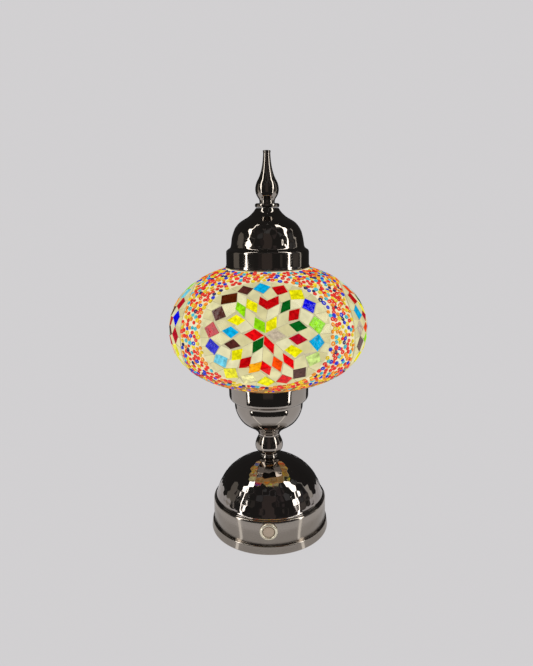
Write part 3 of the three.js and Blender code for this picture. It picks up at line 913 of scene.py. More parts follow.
# joints of the star: (distance, bearing from the sector's first line) of each lattice point in the six sectors
NODES = {
    (1, 0): [(9.3, -4.7), (10.0, -4.2), (10.2, -11.4), (9.2, -6.7), (10.5, 4.1), (9.3, 0.9)],
    (1, 1): [(19.0, -34.8), (17.7, -37.8), (18.0, -37.6), (19.3, -31.2), (18.1, -32.2), (16.7, -35.7)],
    (1, 2): [(28.2, -44.6), (24.8, -50.1), (27.0, -48.5), (27.7, -43.2), (24.9, -45.7), (25.9, -48.0)],
    (1, 3): [(36.9, -52.2), (35.8, -57.2), (35.9, -57.2), (35.4, -53.9), (33.7, -53.3), (34.7, -55.2)],
    (1, 4): [(51.5, -56.2), (52.8, -57.2), (51.3, -57.8), (50.1, -60.9), (49.9, -55.6), (50.0, -54.6)],
    (2, 0): [(19.9, -7.0), (20.5, -4.1), (19.8, -13.1), (21.5, -5.8), (20.5, 0.4), (19.3, -8.4)],
    (2, 1): [(29.0, -25.8), (25.9, -27.2), (27.0, -27.1), (28.7, -25.5), (25.8, -22.6), (27.0, -25.8)],
    (2, 2): [(36.7, -34.7), (35.2, -38.6), (36.3, -38.1), (36.7, -38.5), (35.7, -33.4), (36.5, -35.9)],
    (2, 3): [(46.2, -45.7), (46.1, -48.7), (44.8, -48.8), (45.6, -48.9), (43.3, -45.5), (43.3, -46.2)],
    (3, 0): [(28.1, -5.2), (29.4, -6.4), (31.0, -10.9), (30.4, -7.8), (29.5, -4.6), (29.9, -9.0)],
    (3, 1): [(35.8, -17.1), (35.2, -19.1), (38.2, -22.6), (36.0, -20.2), (36.2, -15.4), (36.4, -21.0)],
    (3, 2): [(44.0, -26.3), (44.2, -29.5), (46.7, -29.8), (44.6, -29.6), (46.1, -26.3), (45.7, -28.8)],
    (3, 3): [(53.2, -35.7), (50.0, -38.2), (50.8, -38.8), (53.8, -40.0), (51.4, -36.8), (50.7, -37.7)],
    (4, 0): [(44.1, -6.3), (43.5, -6.8), (45.7, -8.7), (44.0, -9.8), (44.7, -7.8), (45.0, -5.7)],
    (4, 1): [(49.5, -18.4), (51.3, -19.0), (52.9, -18.6), (51.4, -21.5), (51.7, -18.4), (52.5, -14.5)],
}

# coloured tiles of the front star: corners in mm from its middle, rightwards and upwards
FRONT_TILES = [
    ("yellow", [(1.1, 1.3), (1.6, 9.2), (9.2, 13.8), (8.9, 5.3)]),
    ("clear", [(1.1, 0.4), (8.6, 3.1), (15.7, -1.5), (7.8, -5.0)]),
    ("scarlet", [(0.1, -1.4), (7.1, -8.2), (6.6, -15.2), (-0.4, -7.7)]),
    ("green", [(-1.0, -2.8), (-1.6, -10.2), (-9.2, -14.6), (-8.7, -6.4)]),
    ("scarlet", [(-1.0, -1.0), (-8.3, -5.2), (-15.4, -0.3), (-7.8, 3.7)]),
    ("lime", [(0.1, 1.3), (-0.0, 8.8), (-7.4, 13.0), (-8.0, 5.1)]),
    ("red", [(2.5, 28.3), (10.7, 33.1), (10.9, 25.7), (2.9, 20.7)]),
    ("green", [(14.4, 26.5), (20.2, 29.7), (20.1, 21.2), (12.6, 17.4)]),
    ("red", [(19.5, 18.9), (27.8, 21.6), (26.3, 12.6), (19.0, 10.9)]),
    ("green", [(19.3, 7.5), (27.2, 10.8), (33.4, 5.3), (25.3, 2.2)]),
    ("crimson", [(19.2, -3.3), (26.5, 0.2), (33.4, -4.5), (25.7, -8.4)]),
    ("yellow", [(15.8, -12.5), (21.0, -8.6), (30.0, -13.7), (24.1, -18.8)]),
    ("scarlet", [(14.4, -15.6), (22.5, -21.5), (23.1, -29.0), (15.5, -22.6)]),
    ("orange", [(7.1, -17.8), (13.8, -22.7), (12.5, -31.5), (5.9, -25.8)]),
    ("scarlet", [(-2.0, -21.6), (4.9, -27.1), (3.5, -34.8), (-3.6, -29.1)]),
    ("amber", [(-12.0, -24.7), (-2.6, -22.6), (-4.6, -30.6), (-13.4, -32.9)]),
    ("red", [(-19.2, -20.5), (-10.8, -18.2), (-12.7, -27.1), (-20.9, -28.2)]),
    ("yellow", [(-25.8, -13.6), (-17.3, -11.7), (-18.8, -19.9), (-26.6, -21.5)]),
    ("umber", [(-32.1, -8.0), (-24.5, -3.9), (-19.5, -9.4), (-27.1, -11.7)]),
    ("cyan", [(-33.8, 3.0), (-26.9, 6.2), (-20.7, 1.6), (-26.8, -2.8)]),
    ("yellow", [(-29.8, 11.6), (-22.7, 15.8), (-15.4, 11.1), (-21.1, 7.2)]),
    ("lime", [(-22.3, 27.5), (-15.6, 22.4), (-16.1, 14.0), (-23.4, 21.5)]),
    ("yellow", [(-14.4, 30.4), (-6.1, 25.3), (-6.4, 17.6), (-14.8, 22.3)]),
    ("red", [(-4.1, 32.4), (2.6, 27.2), (2.0, 20.3), (-4.7, 25.3)]),
    ("red", [(6.1, 43.1), (15.4, 46.4), (18.7, 38.4), (10.1, 35.1)]),
    ("yellow", [(20.2, 40.4), (30.7, 42.6), (32.6, 32.1), (21.6, 30.5)]),
    ("royal", [(33.3, 32.2), (42.2, 28.4), (39.4, 19.0), (30.6, 23.3)]),
    ("lime", [(40.4, 15.3), (49.7, 9.7), (44.4, 0.6), (35.5, 8.3)]),
    ("cyan", [(43.8, 0.2), (48.9, -7.1), (42.8, -14.3), (35.9, -6.0)]),
    ("lime_pale", [(44.2, -15.2), (46.4, -23.9), (37.3, -27.8), (33.5, -19.3)]),
    ("plum", [(23.3, -31.1), (33.7, -29.3), (34.5, -39.3), (24.3, -40.6)]),
    ("scarlet", [(14.4, -35.5), (22.4, -39.8), (18.2, -46.8), (9.8, -43.8)]),
    ("yellow", [(-0.2, -36.7), (7.7, -43.9), (1.9, -50.7), (-6.9, -45.0)]),
    ("lemon", [(-20.4, -37.4), (-11.1, -34.6), (-8.1, -41.4), (-18.5, -47.1)]),
    ("yellow", [(-35.0, -30.7), (-24.7, -29.3), (-23.7, -40.1), (-34.9, -41.6)]),
    ("sky", [(-40.1, -16.1), (-30.7, -19.9), (-33.4, -29.0), (-43.2, -24.1)]),
    ("blue", [(-45.4, -3.6), (-37.7, -10.5), (-42.4, -17.5), (-50.1, -10.4)]),
    ("crimson", [(-43.0, 10.9), (-37.3, 1.3), (-46.4, -2.4), (-50.4, 6.0)]),
    ("umber", [(-44.5, 21.3), (-36.1, 24.9), (-31.7, 15.3), (-40.3, 12.2)]),
    ("brown", [(-37.0, 36.4), (-23.9, 37.9), (-23.6, 28.6), (-36.8, 27.6)]),
    ("umber", [(-19.0, 46.3), (-10.8, 42.3), (-15.1, 36.0), (-23.2, 39.9)]),
    ("cyan", [(-4.6, 49.2), (3.7, 44.3), (-1.4, 36.5), (-9.8, 41.9)]),
]


def lattice(i, j, sector, regular=False):
    """Polar place of a joint of a 60 degree sector, sectors numbered clockwise from the bearing of 90 degrees."""
    if (i, j) == (0, 0):
        return 0.3, math.radians(-75)
    if i == 0:
        i, j, sector = j, 0, (sector + 1) % 6
    row = NODES[(i, j)]
    rho, ang = np.mean(row, axis=0) if regular else row[sector]
    return float(rho), math.radians(90 - 60 * sector + float(ang))


def tile_cells(regular):
    """The star's cells: (ring, order clockwise, polar corner points)."""
    cells = []
    plan = {
        1: [[(0, 0), (1, 0), (1, 1), (0, 1)]],
        2: [[(1, 0), (2, 0), (2, 1), (1, 1)], [(0, 1), (1, 1), (1, 2), (0, 2)]],
        3: [[(2, 0), (3, 0), (3, 1), (2, 1)], [(1, 1), (2, 1), (2, 2), (1, 2)], [(0, 2), (1, 2), (1, 3), (0, 3)]],
        4: [[(2, 1), (3, 1), (3, 2), (2, 2)], [(1, 2), (2, 2), (2, 3), (1, 3)]],
        5: [[(3, 1), (4, 0), (4, 1), (3, 2)], [(2, 2), (3, 2), (3, 3), (2, 3)], [(1, 3), (2, 3), (1, 4), (0, 4)]],
    }
    for s in range(6):
        for ring, quads in plan.items():
            for k, q in enumerate(quads):
                cells.append((ring, s * len(quads) + k, [lattice(*p, s, regular) for p in q]))
        cells.append((4, 12 + s, [lattice(*p, regular) for p in ((3, 0, s), (3, 1, s), (4, 0, s), (1, 3, (s + 5) % 6))]))
    return cells


def inset_polygon(Q, d):
    """A convex polygon in the plane moved inwards by d."""
    Q = np.asarray(Q, float)
    n = len(Q)
    if area2(Q) < 0:
        Q = Q[::-1]
    out = []
    for i in range(n):
        A, B, C = Q[i - 1], Q[i], Q[(i + 1) % n]
        u, v = (B - A), (C - B)
        u /= max(np.linalg.norm(u), 1e-9)
        v /= max(np.linalg.norm(v), 1e-9)
        nu, nv = np.array([-u[1], u[0]]), np.array([-v[1], v[0]])
        bis = nu + nv
        L = np.linalg.norm(bis)
        if L < 1e-6:
            out.append(B + nu * d)
            continue
        bis /= L
        out.append(B + bis * d / max(float(np.dot(bis, nu)), 0.35))
    return np.array(out)


class Slabs:
    """Many small flat slabs on the globe, gathered by colour."""

    def __init__(self):
        self.V, self.F, self.M, self.n = {}, {}, {}, {}

    def add(self, key, top, mid, low):
        """Rings of corner points, each (k, 3): bevelled top face, edge and foot."""
        k = len(top)
        base = self.n.get(key, 0)
        self.V.setdefault(key, []).append(np.vstack([low, mid, top]))
        F, M = self.F.setdefault(key, []), self.M.setdefault(key, [])
        for lev in (0, 1):
            for i in range(k):
                j = (i + 1) % k
                F.append([base + lev * k + i, base + lev * k + j, base + (lev + 1) * k + j, base + (lev + 1) * k + i])
                M.append(1 if lev == 0 else 0)
        F.append([base + 2 * k + i for i in range(k)])
        M.append(0)
        F.append([base + i for i in range(k)][::-1])
        M.append(1)
        self.n[key] = base + 3 * k

    def mesh(self, key, name):
        V = np.vstack(self.V[key])
        by = {}
        for f, m in zip(self.F[key], self.M[key]):
            by.setdefault(len(f), []).append((f, m))
        polys, mats = [], []
        for k in sorted(by):
            polys.append(np.array([f for f, _ in by[k]]))
            mats += [m for _, m in by[k]]
        me = make_mesh(name, V, polys, None, False)
        me.polygons.foreach_set("material_index", np.array(mats, np.int32))
        return me


TILE_TOP, TILE_EDGE, BED_D = 0.18, 0.40, 0.95
slabs = Slabs()


def add_slab(key, psi, h, Q, inset, lift=0.0, uneven=0.07):
    """A slab whose outline Q is in the flower's plane (mm)."""
    Qi = inset_polygon(Q, inset)
    c = Qi.mean(0)
    rings = []
    tilt = rng.normal(0, uneven / 4.0, 2)
    for extra, d in ((0.16, TILE_TOP), (0.0, TILE_EDGE), (-0.02, BED_D + 0.5)):
        R = inset_polygon(Qi, extra) if extra > 0 else Qi
        P = geodesic(psi, h, np.hypot(R[:, 0], R[:, 1]), np.arctan2(R[:, 1], R[:, 0]))
        N = normals(P)
        off = np.clip((R - c) @ tilt, -0.12, 0.12) if d < BED_D else 0.0
        rings.append(P - N * (d - lift + (off if np.isscalar(off) else off))[:, None] if not np.isscalar(off) else P - N * (d - lift))
    top, mid, low = [r + np.array([0, 0, GZ]) for r in rings]
    slabs.add(key, top, mid, low)


def polar(p):
    return np.array([p[0] * math.cos(p[1]), p[0] * math.sin(p[1])])


for fi, (psi, h) in enumerate(FLOWERS):
    g = np.random.default_rng(40 + fi)
    regular = fi > 0
    ring_colors = {}
    if fi:
        ring_colors = {1: list(g.choice(PALETTE, 6)), 3: list(g.choice(PALETTE, 18)), 5: list(g.choice(PALETTE, 18))}
        if fi == 1:  # its near edge shows from the front
            for k, c in zip(range(10, 18), ("yellow", "yellow", "umber", "clear", "cyan", "red", "orange", "sky")):
                ring_colors[5][k] = c
            for k, c in zip((13, 14, 15, 16), ("orange", "crimson", "yellow", "green")):
                ring_colors[3][k] = c
        if fi == 3:
            for k, c in zip(range(6), ("sky", "crimson", "royal", "crimson", "yellow", "yellow")):
                ring_colors[5][k] = c
            for k, c in zip((1, 2, 3, 4), ("umber", "crimson", "plum", "red")):
                ring_colors[3][k] = c
    else:
        for c, Q in FRONT_TILES:
            add_slab(c, psi, h, np.array(Q), -0.32)
    for ring, order, corners in tile_cells(regular):
        Q = np.array([polar(p) for p in corners])
        if regular:
            t = math.radians(TURN[fi])
            Q = Q @ np.array([[math.cos(t), math.sin(t)], [-math.sin(t), math.cos(t)]]) + g.normal(0, 0.3, Q.shape)
        if ring in (1, 3, 5):
            if regular:
                add_slab(ring_colors[ring][order], psi, h, Q, 0.12)
        else:
            add_slab(("cream", "cream_b", "cream_c")[(order * 7 + ring) % 3], psi, h, Q, 0.30, -0.07)
    # cream fillers between the last coloured tiles and the round border
    outer = []
    for s in range(6):
        pts = [lattice(i, j, s, regular) for i, j in ((4, 0), (4, 1), (3, 2), (3, 3), (2, 3), (1, 4))]
        outer += [(p[0], p[1] + math.radians(TURN[fi])) for p in pts]
    for t in range(18):
        a, notch, b = outer[(2 * t - 1) % 36], outer[2 * t % 36], outer[(2 * t + 1) % 36]
        pa, pb = a[1], b[1]
        while pb > pa:
            pb -= 2 * math.pi
        while pa - pb > 2 * math.pi:
            pb += 2 * math.pi
        edge = lambda x: float(border_radius(x)) * np.array([math.cos(x), math.sin(x)])
        arc = [edge(x) for x in np.linspace(pb, pa, 5)]
        m = arc[2]
        ta = (min(a[0], float(border_radius(pa)) - 0.9), pa)
        tb = (min(b[0], float(border_radius(pb)) - 0.9), pb)
        # two pieces each, so that every piece is convex
        add_slab("cream", psi, h, np.array([polar(ta), polar(notch), m, arc[3], arc[4]]), 0.3, -0.08)
        add_slab("cream_b", psi, h, np.array([polar(notch), polar(tb), arc[0], arc[1], m]), 0.3, -0.08)

CREAM = srgb(241, 234, 178)
CREAM_B = srgb(235, 226, 168)
CREAM_C = srgb(243, 237, 190)
tile_mats = {}
# each tile gets a face material and a side material; the side is the face colour darkened to 0.62 (cream) or 0.45
# (coloured), painted shade along the tile edges
for key in slabs.V:
    if key == "cream":
        face = glow_mat("tile_cream", CREAM, 0.70, 0.28, 0.2, 120.0, 0.08, 0.00008)
        side = glow_mat("tile_cream_side", tuple(c * 0.62 for c in CREAM), 0.6, 0.3, 0.5, 120.0, 0.05)
    elif key == "cream_c":
        face = glow_mat("tile_cream_c", CREAM_C, 0.74, 0.28, 0.2, 120.0, 0.08, 0.00008)
        side = glow_mat("tile_cream_c_side", tuple(c * 0.62 for c in CREAM_C), 0.6, 0.3, 0.5, 120.0, 0.05)
    elif key == "cream_b":
        face = glow_mat("tile_cream_b", CREAM_B, 0.70, 0.28, 0.2, 120.0, 0.08, 0.00008)
        side = glow_mat("tile_cream_b_side", tuple(c * 0.62 for c in CREAM_B), 0.6, 0.3, 0.5, 120.0, 0.05)
    else:
        col = TILE[key]
        face = glow_mat("tile_" + key, col, 0.90, 0.16, 0.08, 330.0, 0.30, 0.0003, None, 0.0, 0.3)
        side = glow_mat("tile_" + key + "_side", tuple(c * 0.45 for c in col), 0.8, 0.3, 0.4, 200.0, 0.1)
    piece("tiles_" + key, slabs.mesh(key, "tiles_" + key), [face, side], "globe")

# ------------------------------------------------------------------ plaster bed between tiles and beads
centres = [geodesic(psi, h, [0.0], [0.0])[0] for psi, h in FLOWERS]


def flower_distance(P):
    """Rough distance along the surface from the nearest flower's centre."""
    best = np.full(len(P), 1e9)
    for (psi, h), c in zip(FLOWERS, centres):
        d = np.linalg.norm(P - c, axis=1)
        arc = 2 * 88.0 * np.arcsin(np.clip(d / (2 * 88.0), 0, 1))
        best = np.minimum(best, arc)
    return best


def border_curve(psi, h, extra, n=720):
    ph = np.linspace(-math.pi, math.pi, n, endpoint=False)
    return geodesic(psi, h, border_radius(ph) + extra, ph)


border_kd = []
for psi, h in FLOWERS:
    B = border_curve(psi, h, 0.2)
    kd = kdtree.KDTree(len(B))
    for i, b in enumerate(B):
        kd.insert(Vector(b), i)
    kd.balance()
    border_kd.append((kd, np.linalg.norm(B - centres[len(border_kd)], axis=1)))


def outside_flowers(p, margin):
    """How far a surface point is outside the nearest flower's border, in mm; negative inside."""
    best = 1e9
    for (kd, reach), c in zip(border_kd, centres):
        v = np.linalg.norm(p - c)
        if v > 78:
            best = min(best, v - 57)
            continue
        co, i, d = kd.find(Vector(p))
        best = min(best, d if v > reach[i] else -d)
    return best


bed_profile = np.vstack([meridian(BED_D, 36.0, 121), meridian(2.0, 36.0, 31)[::-1]])
V, P = revolve(bed_profile, 288)
rel = V - np.array([0, 0, GZ])
grain = np.random.default_rng(3)
bed_me = make_mesh("bed", V, P, 50)
zone = np.zeros(len(V), np.float32)
near = flower_distance(rel) < 68
for i in np.nonzero(near)[0]:
    zone[i] = np.clip(0.5 - outside_flowers(rel[i], 0) / 1.2, 0, 1)
att = bed_me.attributes.new("zone", "FLOAT", "POINT")
att.data.foreach_set("value", zone)

m, nt, b = new_mat("plaster_bed")
v = coords(nt)
at = nt.nodes.new("ShaderNodeAttribute")
at.attribute_name = "zone"
big = noise(nt, v, 90.0, 3.0)
fine = noise(nt, v, 900.0, 3.0, 0.65)
sep = nt.nodes.new("ShaderNodeSeparateXYZ")
nt.links.new(v, sep.inputs[0])
# painted light: the bed is tinted warmer from 178 mm down to 150 mm; painted shade: darker golden brown from 158 mm
# down to 147.5 mm, on its underside
low = ramp(nt, sep.outputs["Z"], 1.0, 0.0, (150.0 + UP) * MM, (178.0 + UP) * MM)
lit = mix_color(nt, ramp(nt, big, 0, 1), srgb(232, 221, 170), srgb(246, 238, 200))
lit = mix_color(nt, low, lit, srgb(240, 200, 124))
underside_shade = ramp(nt, sep.outputs["Z"], 1.0, 0.0, (147.5 + UP) * MM, (158.0 + UP) * MM)
lit = mix_color(nt, underside_shade, lit, srgb(146, 112, 66))
# grout inside the flowers: its own greyer colour, darkened further as painted shade in the joints between the tiles
joint_grout_and_shade = mix_color(nt, ramp(nt, fine, 0, 1), srgb(186, 177, 138), srgb(214, 205, 164))
col = mix_color(nt, at.outputs["Fac"], lit, joint_grout_and_shade)
nt.links.new(col, b.inputs["Emission Color"])
b.inputs["Emission Strength"].default_value = 0.84
nt.links.new(mix_color(nt, at.outputs["Fac"], srgb(120, 116, 104), srgb(96, 92, 82)), b.inputs["Base Color"])
nt.links.new(ramp(nt, fine, 0.6, 0.8), b.inputs["Roughness"])
bump(nt, b, fine, 0.4, 0.0002)
plaster = m
piece("mosaic_bed", bed_me, plaster, "globe", ("mosaic_skin",))

# ------------------------------------------------------------------ seed beads
def bead_mat(name, color):
    """Bead glass lit from behind, with painted light and shade: painted brightest on the top of its tube and painted
    darker on its sides, where the glass is seen edge on.
    """
    m, nt, b = new_mat(name)
    v = coords(nt)
    at = nt.nodes.new("ShaderNodeAttribute")
    at.attribute_name = "crown_shading"
    n1 = noise(nt, v, 420.0, 2.0)
    side_shade_color = tuple(c * 0.34 for c in color)
    pale = tuple(min(1.0, c * 1.02 + 0.03) for c in color)
    col = mix_color(nt, ramp(nt, at.outputs["Fac"], 0.0, 1.0, -0.1, 0.95), side_shade_color, pale)
    mul = nt.nodes.new("ShaderNodeVectorMath")
    mul.operation = "SCALE"
    nt.links.new(col, mul.inputs[0])
    nt.links.new(ramp(nt, n1, 0.82, 1.12), mul.inputs["Scale"])
    nt.links.new(mul.outputs["Vector"], b.inputs["Emission Color"])
    b.inputs["Emission Strength"].default_value = 0.86
    b.inputs["Specular IOR Level"].default_value = 0.3
    nt.links.new(mix_color(nt, ramp(nt, n1, 0, 1), tuple(c * 0.22 for c in color), tuple(c * 0.3 for c in color)), b.inputs["Base Color"])
    nt.links.new(ramp(nt, n1, 0.06, 0.14), b.inputs["Roughness"])
    return m


BEAD = {
    "red": (srgb(236, 34, 14), 0.36),
    "yellow": (srgb(238, 208, 16), 0.19),
    "amber": (srgb(244, 146, 12), 0.18),
    "turquoise": (srgb(64, 190, 206), 0.11),
    "cobalt": (srgb(26, 48, 206), 0.10),
    "navy": (srgb(18, 18, 96), 0.07),
    "honey": (srgb(168, 124, 62), 0.0),
}


def scatter(dist):
    """Points at least dist apart in the bead fields, by dart throwing on the globe."""
    g = np.random.default_rng(21)
    prof = meridian(0.0, 36.0, 401)
    m = len(prof)
    ds = np.linalg.norm(np.diff(prof, axis=0), axis=1)
    w = ds * (prof[1:, 0] + prof[:-1, 0]) / 2
    cum = np.r_[0, np.cumsum(w)] / np.sum(w)
    n = 60000
    u = g.random(n)
    f = np.interp(u, cum, np.arange(m))
    r = np.interp(f, np.arange(m), prof[:, 0])
    z = np.interp(f, np.arange(m), prof[:, 1]) - GZ
    th = g.random(n) * 2 * math.pi
    P = np.c_[r * np.sin(th), -r * np.cos(th), z]
    cell = dist
    grid, kept = {}, []
    for p in P:
        if math.hypot(p[0], p[1]) < 39.6:
            continue
        k = tuple(int(c // cell) for c in p)
        ok = True
        for dx in (-1, 0, 1):
            for dy in (-1, 0, 1):
                for dz in (-1, 0, 1):
                    for q in grid.get((k[0] + dx, k[1] + dy, k[2] + dz), ()):
                        if (p[0] - q[0]) ** 2 + (p[1] - q[1]) ** 2 + (p[2] - q[2]) ** 2 < dist * dist:
                            ok = False
                            break
                    if not ok:
                        break
                if not ok:
                    break
            if not ok:
                break
        if not ok:
            continue
        if outside_flowers(p, 0) < 1.75:
            continue
        grid.setdefault(k, []).append(p)
        kept.append(p)
    return np.array(kept)


spots = scatter(3.1)
print("beads", len(spots))
BN = normals(spots)
g = np.random.default_rng(8)
names = list(BEAD)
pick = g.choice(len(names), len(spots), p=np.array([BEAD[k][1] for k in names]) / sum(BEAD[k][1] for k in names))
# underneath, where little of the globe is seen, honey and amber beads take over, a painted warm, dim underside
dim = names.index("honey")
chance = np.interp(-BN[:, 2], [0.72, 0.82, 0.93], [0.0, 0.5, 0.95])
for i in np.nonzero(g.random(len(spots)) < chance)[0]:
    pick[i] = g.choice([dim, names.index("amber"), names.index("yellow")], p=[0.7, 0.18, 0.12])
A, B = 14, 8
ua = np.arange(A) * 2 * math.pi / A
ub = np.arange(B) * 2 * math.pi / B
for ci, cname in enumerate(names):
    idx = np.nonzero(pick == ci)[0]
    Vs, Fs, n = [], [], 0
    quad = []
    for a in range(A):
        for bb in range(B):
            a1, b1 = (a + 1) % A, (bb + 1) % B
            quad.append((a * B + bb, a1 * B + bb, a1 * B + b1, a * B + b1))
    quad = np.array(quad)
    for i in idx:
        N = BN[i] + g.normal(0, 0.16, 3)
        N /= np.linalg.norm(N)
        X = np.cross(N, [0, 0, 1.0])
        X /= np.linalg.norm(X)
        Y = np.cross(N, X)
        out = g.uniform(1.7, 2.25)
        open_ = g.random() < 0.62
        hole = out * (g.uniform(0.26, 0.36) if open_ else 0.10)
        maj, tube = (out + hole) / 2, (out - hole) / 2
        high = min(tube * 1.05, 0.8)
        sq = g.uniform(0.86, 1.0)
        c = spots[i] - BN[i] * (high + 0.06)
        ring = []
        for a in ua:
            dirv = X * math.cos(a) + Y * math.sin(a) * sq
            for bb in ub:
                ring.append(c + dirv * (maj + tube * math.cos(bb)) + N * high * math.sin(bb))
        Vs.append(np.array(ring))
        Fs.append(quad + n)
        n += A * B
    V = np.vstack(Vs) + np.array([0, 0, GZ])
    # nothing stands proud of the globe's outer surface
    rr = project(V - np.array([0, 0, GZ]), 0.0)
    nn = normals(rr)
    over = np.sum((V - np.array([0, 0, GZ]) - rr) * nn, 1)
    V -= np.maximum(over, 0)[:, None] * nn
    me = make_mesh("beads_" + cname, V, [np.vstack(Fs)], None, True)
    # height round each bead's tube, which paints the bead lighter on top and darker on its sides
    crown_shading = np.tile(np.tile(np.sin(ub), A), len(idx)).astype(np.float32)
    att = me.attributes.new("crown_shading", "FLOAT", "POINT")
    att.data.foreach_set("value", crown_shading)
    mat = bead_mat("bead_" + cname, BEAD[cname][0])
    piece("beads_" + cname, me, mat, "globe")

# ------------------------------------------------------------------ glass, rings, bulb and inner pieces
glass_mat = glow_mat("frosted_glass", srgb(236, 224, 186), 0.55, 0.4, 0.35, 80.0, 0.05, 0.00005)


turned_piece("glass_shell", np.vstack([meridian(2.3, 33.0, 61), meridian(5.3, 33.0, 41)[::-1]]), 160, glass_mat, "globe", ("globe_glass",), 50)
mouth_up, mouth_low = ((b - 2.3) * (1 - (33.0 / (GA - 2.3)) ** p) ** (1 / p) for b, p in (UPPER, LOWER))
for nm, z0, z1 in (("edge_ring_upper", GZ + mouth_up + 0.4, GZ + mouth_up + 2.0), ("edge_ring_lower", GZ - mouth_low - 2.4, GZ - mouth_low - 0.4)):
    turned_piece(nm + "_fine", poly_round([(33.3, z0), (34.8, z0), (34.8, z1), (33.3, z1)], 0.4), 128, rubber, "globe", (nm,), 60)

turned_piece(
    "holder_body",
    poly_round([(5.3, 100.4), (10.5, 100.4), (13.2, 104.0), (13.2, 108.0), (12.6, 108.4), (12.6, 127.5), (13.2, 128.0), (13.2, 131.0), (7.5, 131.0), (7.5, 107.5), (5.3, 107.5)], 0.4),
    96, black_plastic, "base", ("lampholder",), 40,
)
base_pts = [(0, 111.0), (2.3, 111.05), (2.6, 111.8), (3.4, 112.6), (5.6, 113.6)]
for i in range(5):
    z = 114.4 + i * 2.82
    base_pts += [(6.45, z), (6.95, z + 0.9), (6.9, z + 1.5), (6.45, z + 2.3)]
base_pts += [(6.7, 129.6), (6.95, 130.2), (6.95, 131.4), (0, 131.4)]
turned_piece("bulb_screw_base", np.array(base_pts), 96, brass, "bulb", ("bulb_base",), 50)
turned_piece("bulb_collar", poly_round([(0, 131.7), (7.2, 131.7), (9.0, 133.0), (12.6, 139.0), (15.4, 146.0), (17.0, 150.0), (17.0, 152.0), (0, 152.0)], 0.6), 96, white_plastic, "bulb", ("bulb_body",), 30)
bulb_glow = glow_mat("bulb_glow", srgb(255, 240, 205), 2.2, 0.6, 0.4, 60.0, 0.03)
diff_line = arc_line([(16.6, 152.3, 0), (17.4, 153.2), (19.4, 157.0), (21.6, 162.5), (22.5, 169.0), (21.8, 175.0), (19.5, 180.5), (15.5, 185.5), (9.0, 189.7), (4.0, 191.1), (0, 191.5, 0)], 0.8)
inner_line = offset_line(diff_line, 1.2)
inner_line[0] = (15.4, 152.3)
inner_line[-1] = (0, 190.3)
inner_line = inner_line[::3] if (len(inner_line) - 1) % 3 == 0 else np.vstack([inner_line[:-1:3], inner_line[-1:]])
inner_line[:, 0] = np.maximum(inner_line[:, 0], 0)
dprof = np.vstack([inner_line[::-1], diff_line])
turned_piece("bulb_globe", dprof, 96, bulb_glow, "bulb", ("bulb_diffuser",), 40)

cover_prof = [(0, 2.0), (54.6, 2.0), (55.0, 2.4), (55.0, 3.6), (0, 3.6)]

# foot pads
for i, a in enumerate((45, 135, 225, 315)):
    t = math.radians(a)
    place = lambda V, t=t: V + np.array([47.5 * math.cos(t), 47.5 * math.sin(t), 0])
    turned_piece(f"pad_{i + 1}", poly_round([(0, 0), (6, 0), (6, 3.3), (0, 3.3)], 0.35), 64, rubber, "base", (f"foot_pad_{i + 1}",), 50, None, place, 0.0)


def cell_profile():
    return poly_round([(0, -21.4), (4.2, -21.4), (4.6, -21.25), (6.4, -21.2), (6.9, -20.8), (7.15, -20.3), (7.15, 26.4), (6.9, 26.9), (3.2, 27.3), (2.8, 27.5), (2.6, 28.8), (0, 28.8)], 0.15)


m, nt, b = new_mat("cell_wrap")
v = coords(nt)
sep = nt.nodes.new("ShaderNodeSeparateXYZ")
nt.links.new(v, sep.inputs[0])
ab = nt.nodes.new("ShaderNodeMath")
ab.operation = "ABSOLUTE"
nt.links.new(sep.outputs["X"], ab.inputs[0])
cnoise = noise(nt, v, 60.0)
nt.links.new(mix_color(nt, ramp(nt, ab.outputs[0], 0, 1, 0.0135, 0.0137), (0.03, 0.05, 0.08), (0.55, 0.36, 0.12)), b.inputs["Base Color"])
nt.links.new(ramp(nt, cnoise, 0.22, 0.34), b.inputs["Roughness"])
b.inputs["Metallic"].default_value = 0.6
cell_wrap = m
for i, k in enumerate((-1, 0, 1)):
    flip = -1 if k == 0 else 1

    def place(V, k=k, flip=flip):
        x, y, z = V[:, 2], V[:, 0], V[:, 1]
        return np.c_[x * flip, y * flip + k * 15.2, z + 4.4 + 7.15]

    turned_piece(f"cell_{i + 1}", cell_profile(), 64, cell_wrap, "base", (f"battery_{i + 1}",), 30, None, place)


def sweep(points, r, sides, close_ends=True):
    P = np.asarray(points, float)
    T = np.gradient(P, axis=0)
    T /= np.linalg.norm(T, axis=1)[:, None]
    U = np.cross(T[0], [0, 0, 1.0] if abs(T[0][2]) < 0.9 else [1.0, 0, 0])
    U /= np.linalg.norm(U)
    V = []
    for i in range(len(P)):
        U = U - T[i] * np.dot(U, T[i])
        U /= np.linalg.norm(U)
        W = np.cross(T[i], U)
        for k in range(sides):
            a = 2 * math.pi * k / sides
            V.append(P[i] + r * (U * math.cos(a) + W * math.sin(a)))
    n = len(P)
    F = []
    for i in range(n - 1):
        for k in range(sides):
            j = (k + 1) % sides
            F.append((i * sides + k, i * sides + j, (i + 1) * sides + j, (i + 1) * sides + k))
    caps = [[k for k in range(sides)][::-1], [(n - 1) * sides + k for k in range(sides)]]
    return np.array(V), [np.array(F), np.array(caps)]


def coil_points(length, r0, r1, turns, wire, per=20):
    n = int(turns * per)
    a = np.arange(n + 1) * 2 * math.pi / per
    f = np.arange(n + 1) / n
    r = r0 + (r1 - r0) * f
    return np.c_[r * np.cos(a), r * np.sin(a), wire + f * (length - 2 * wire)]


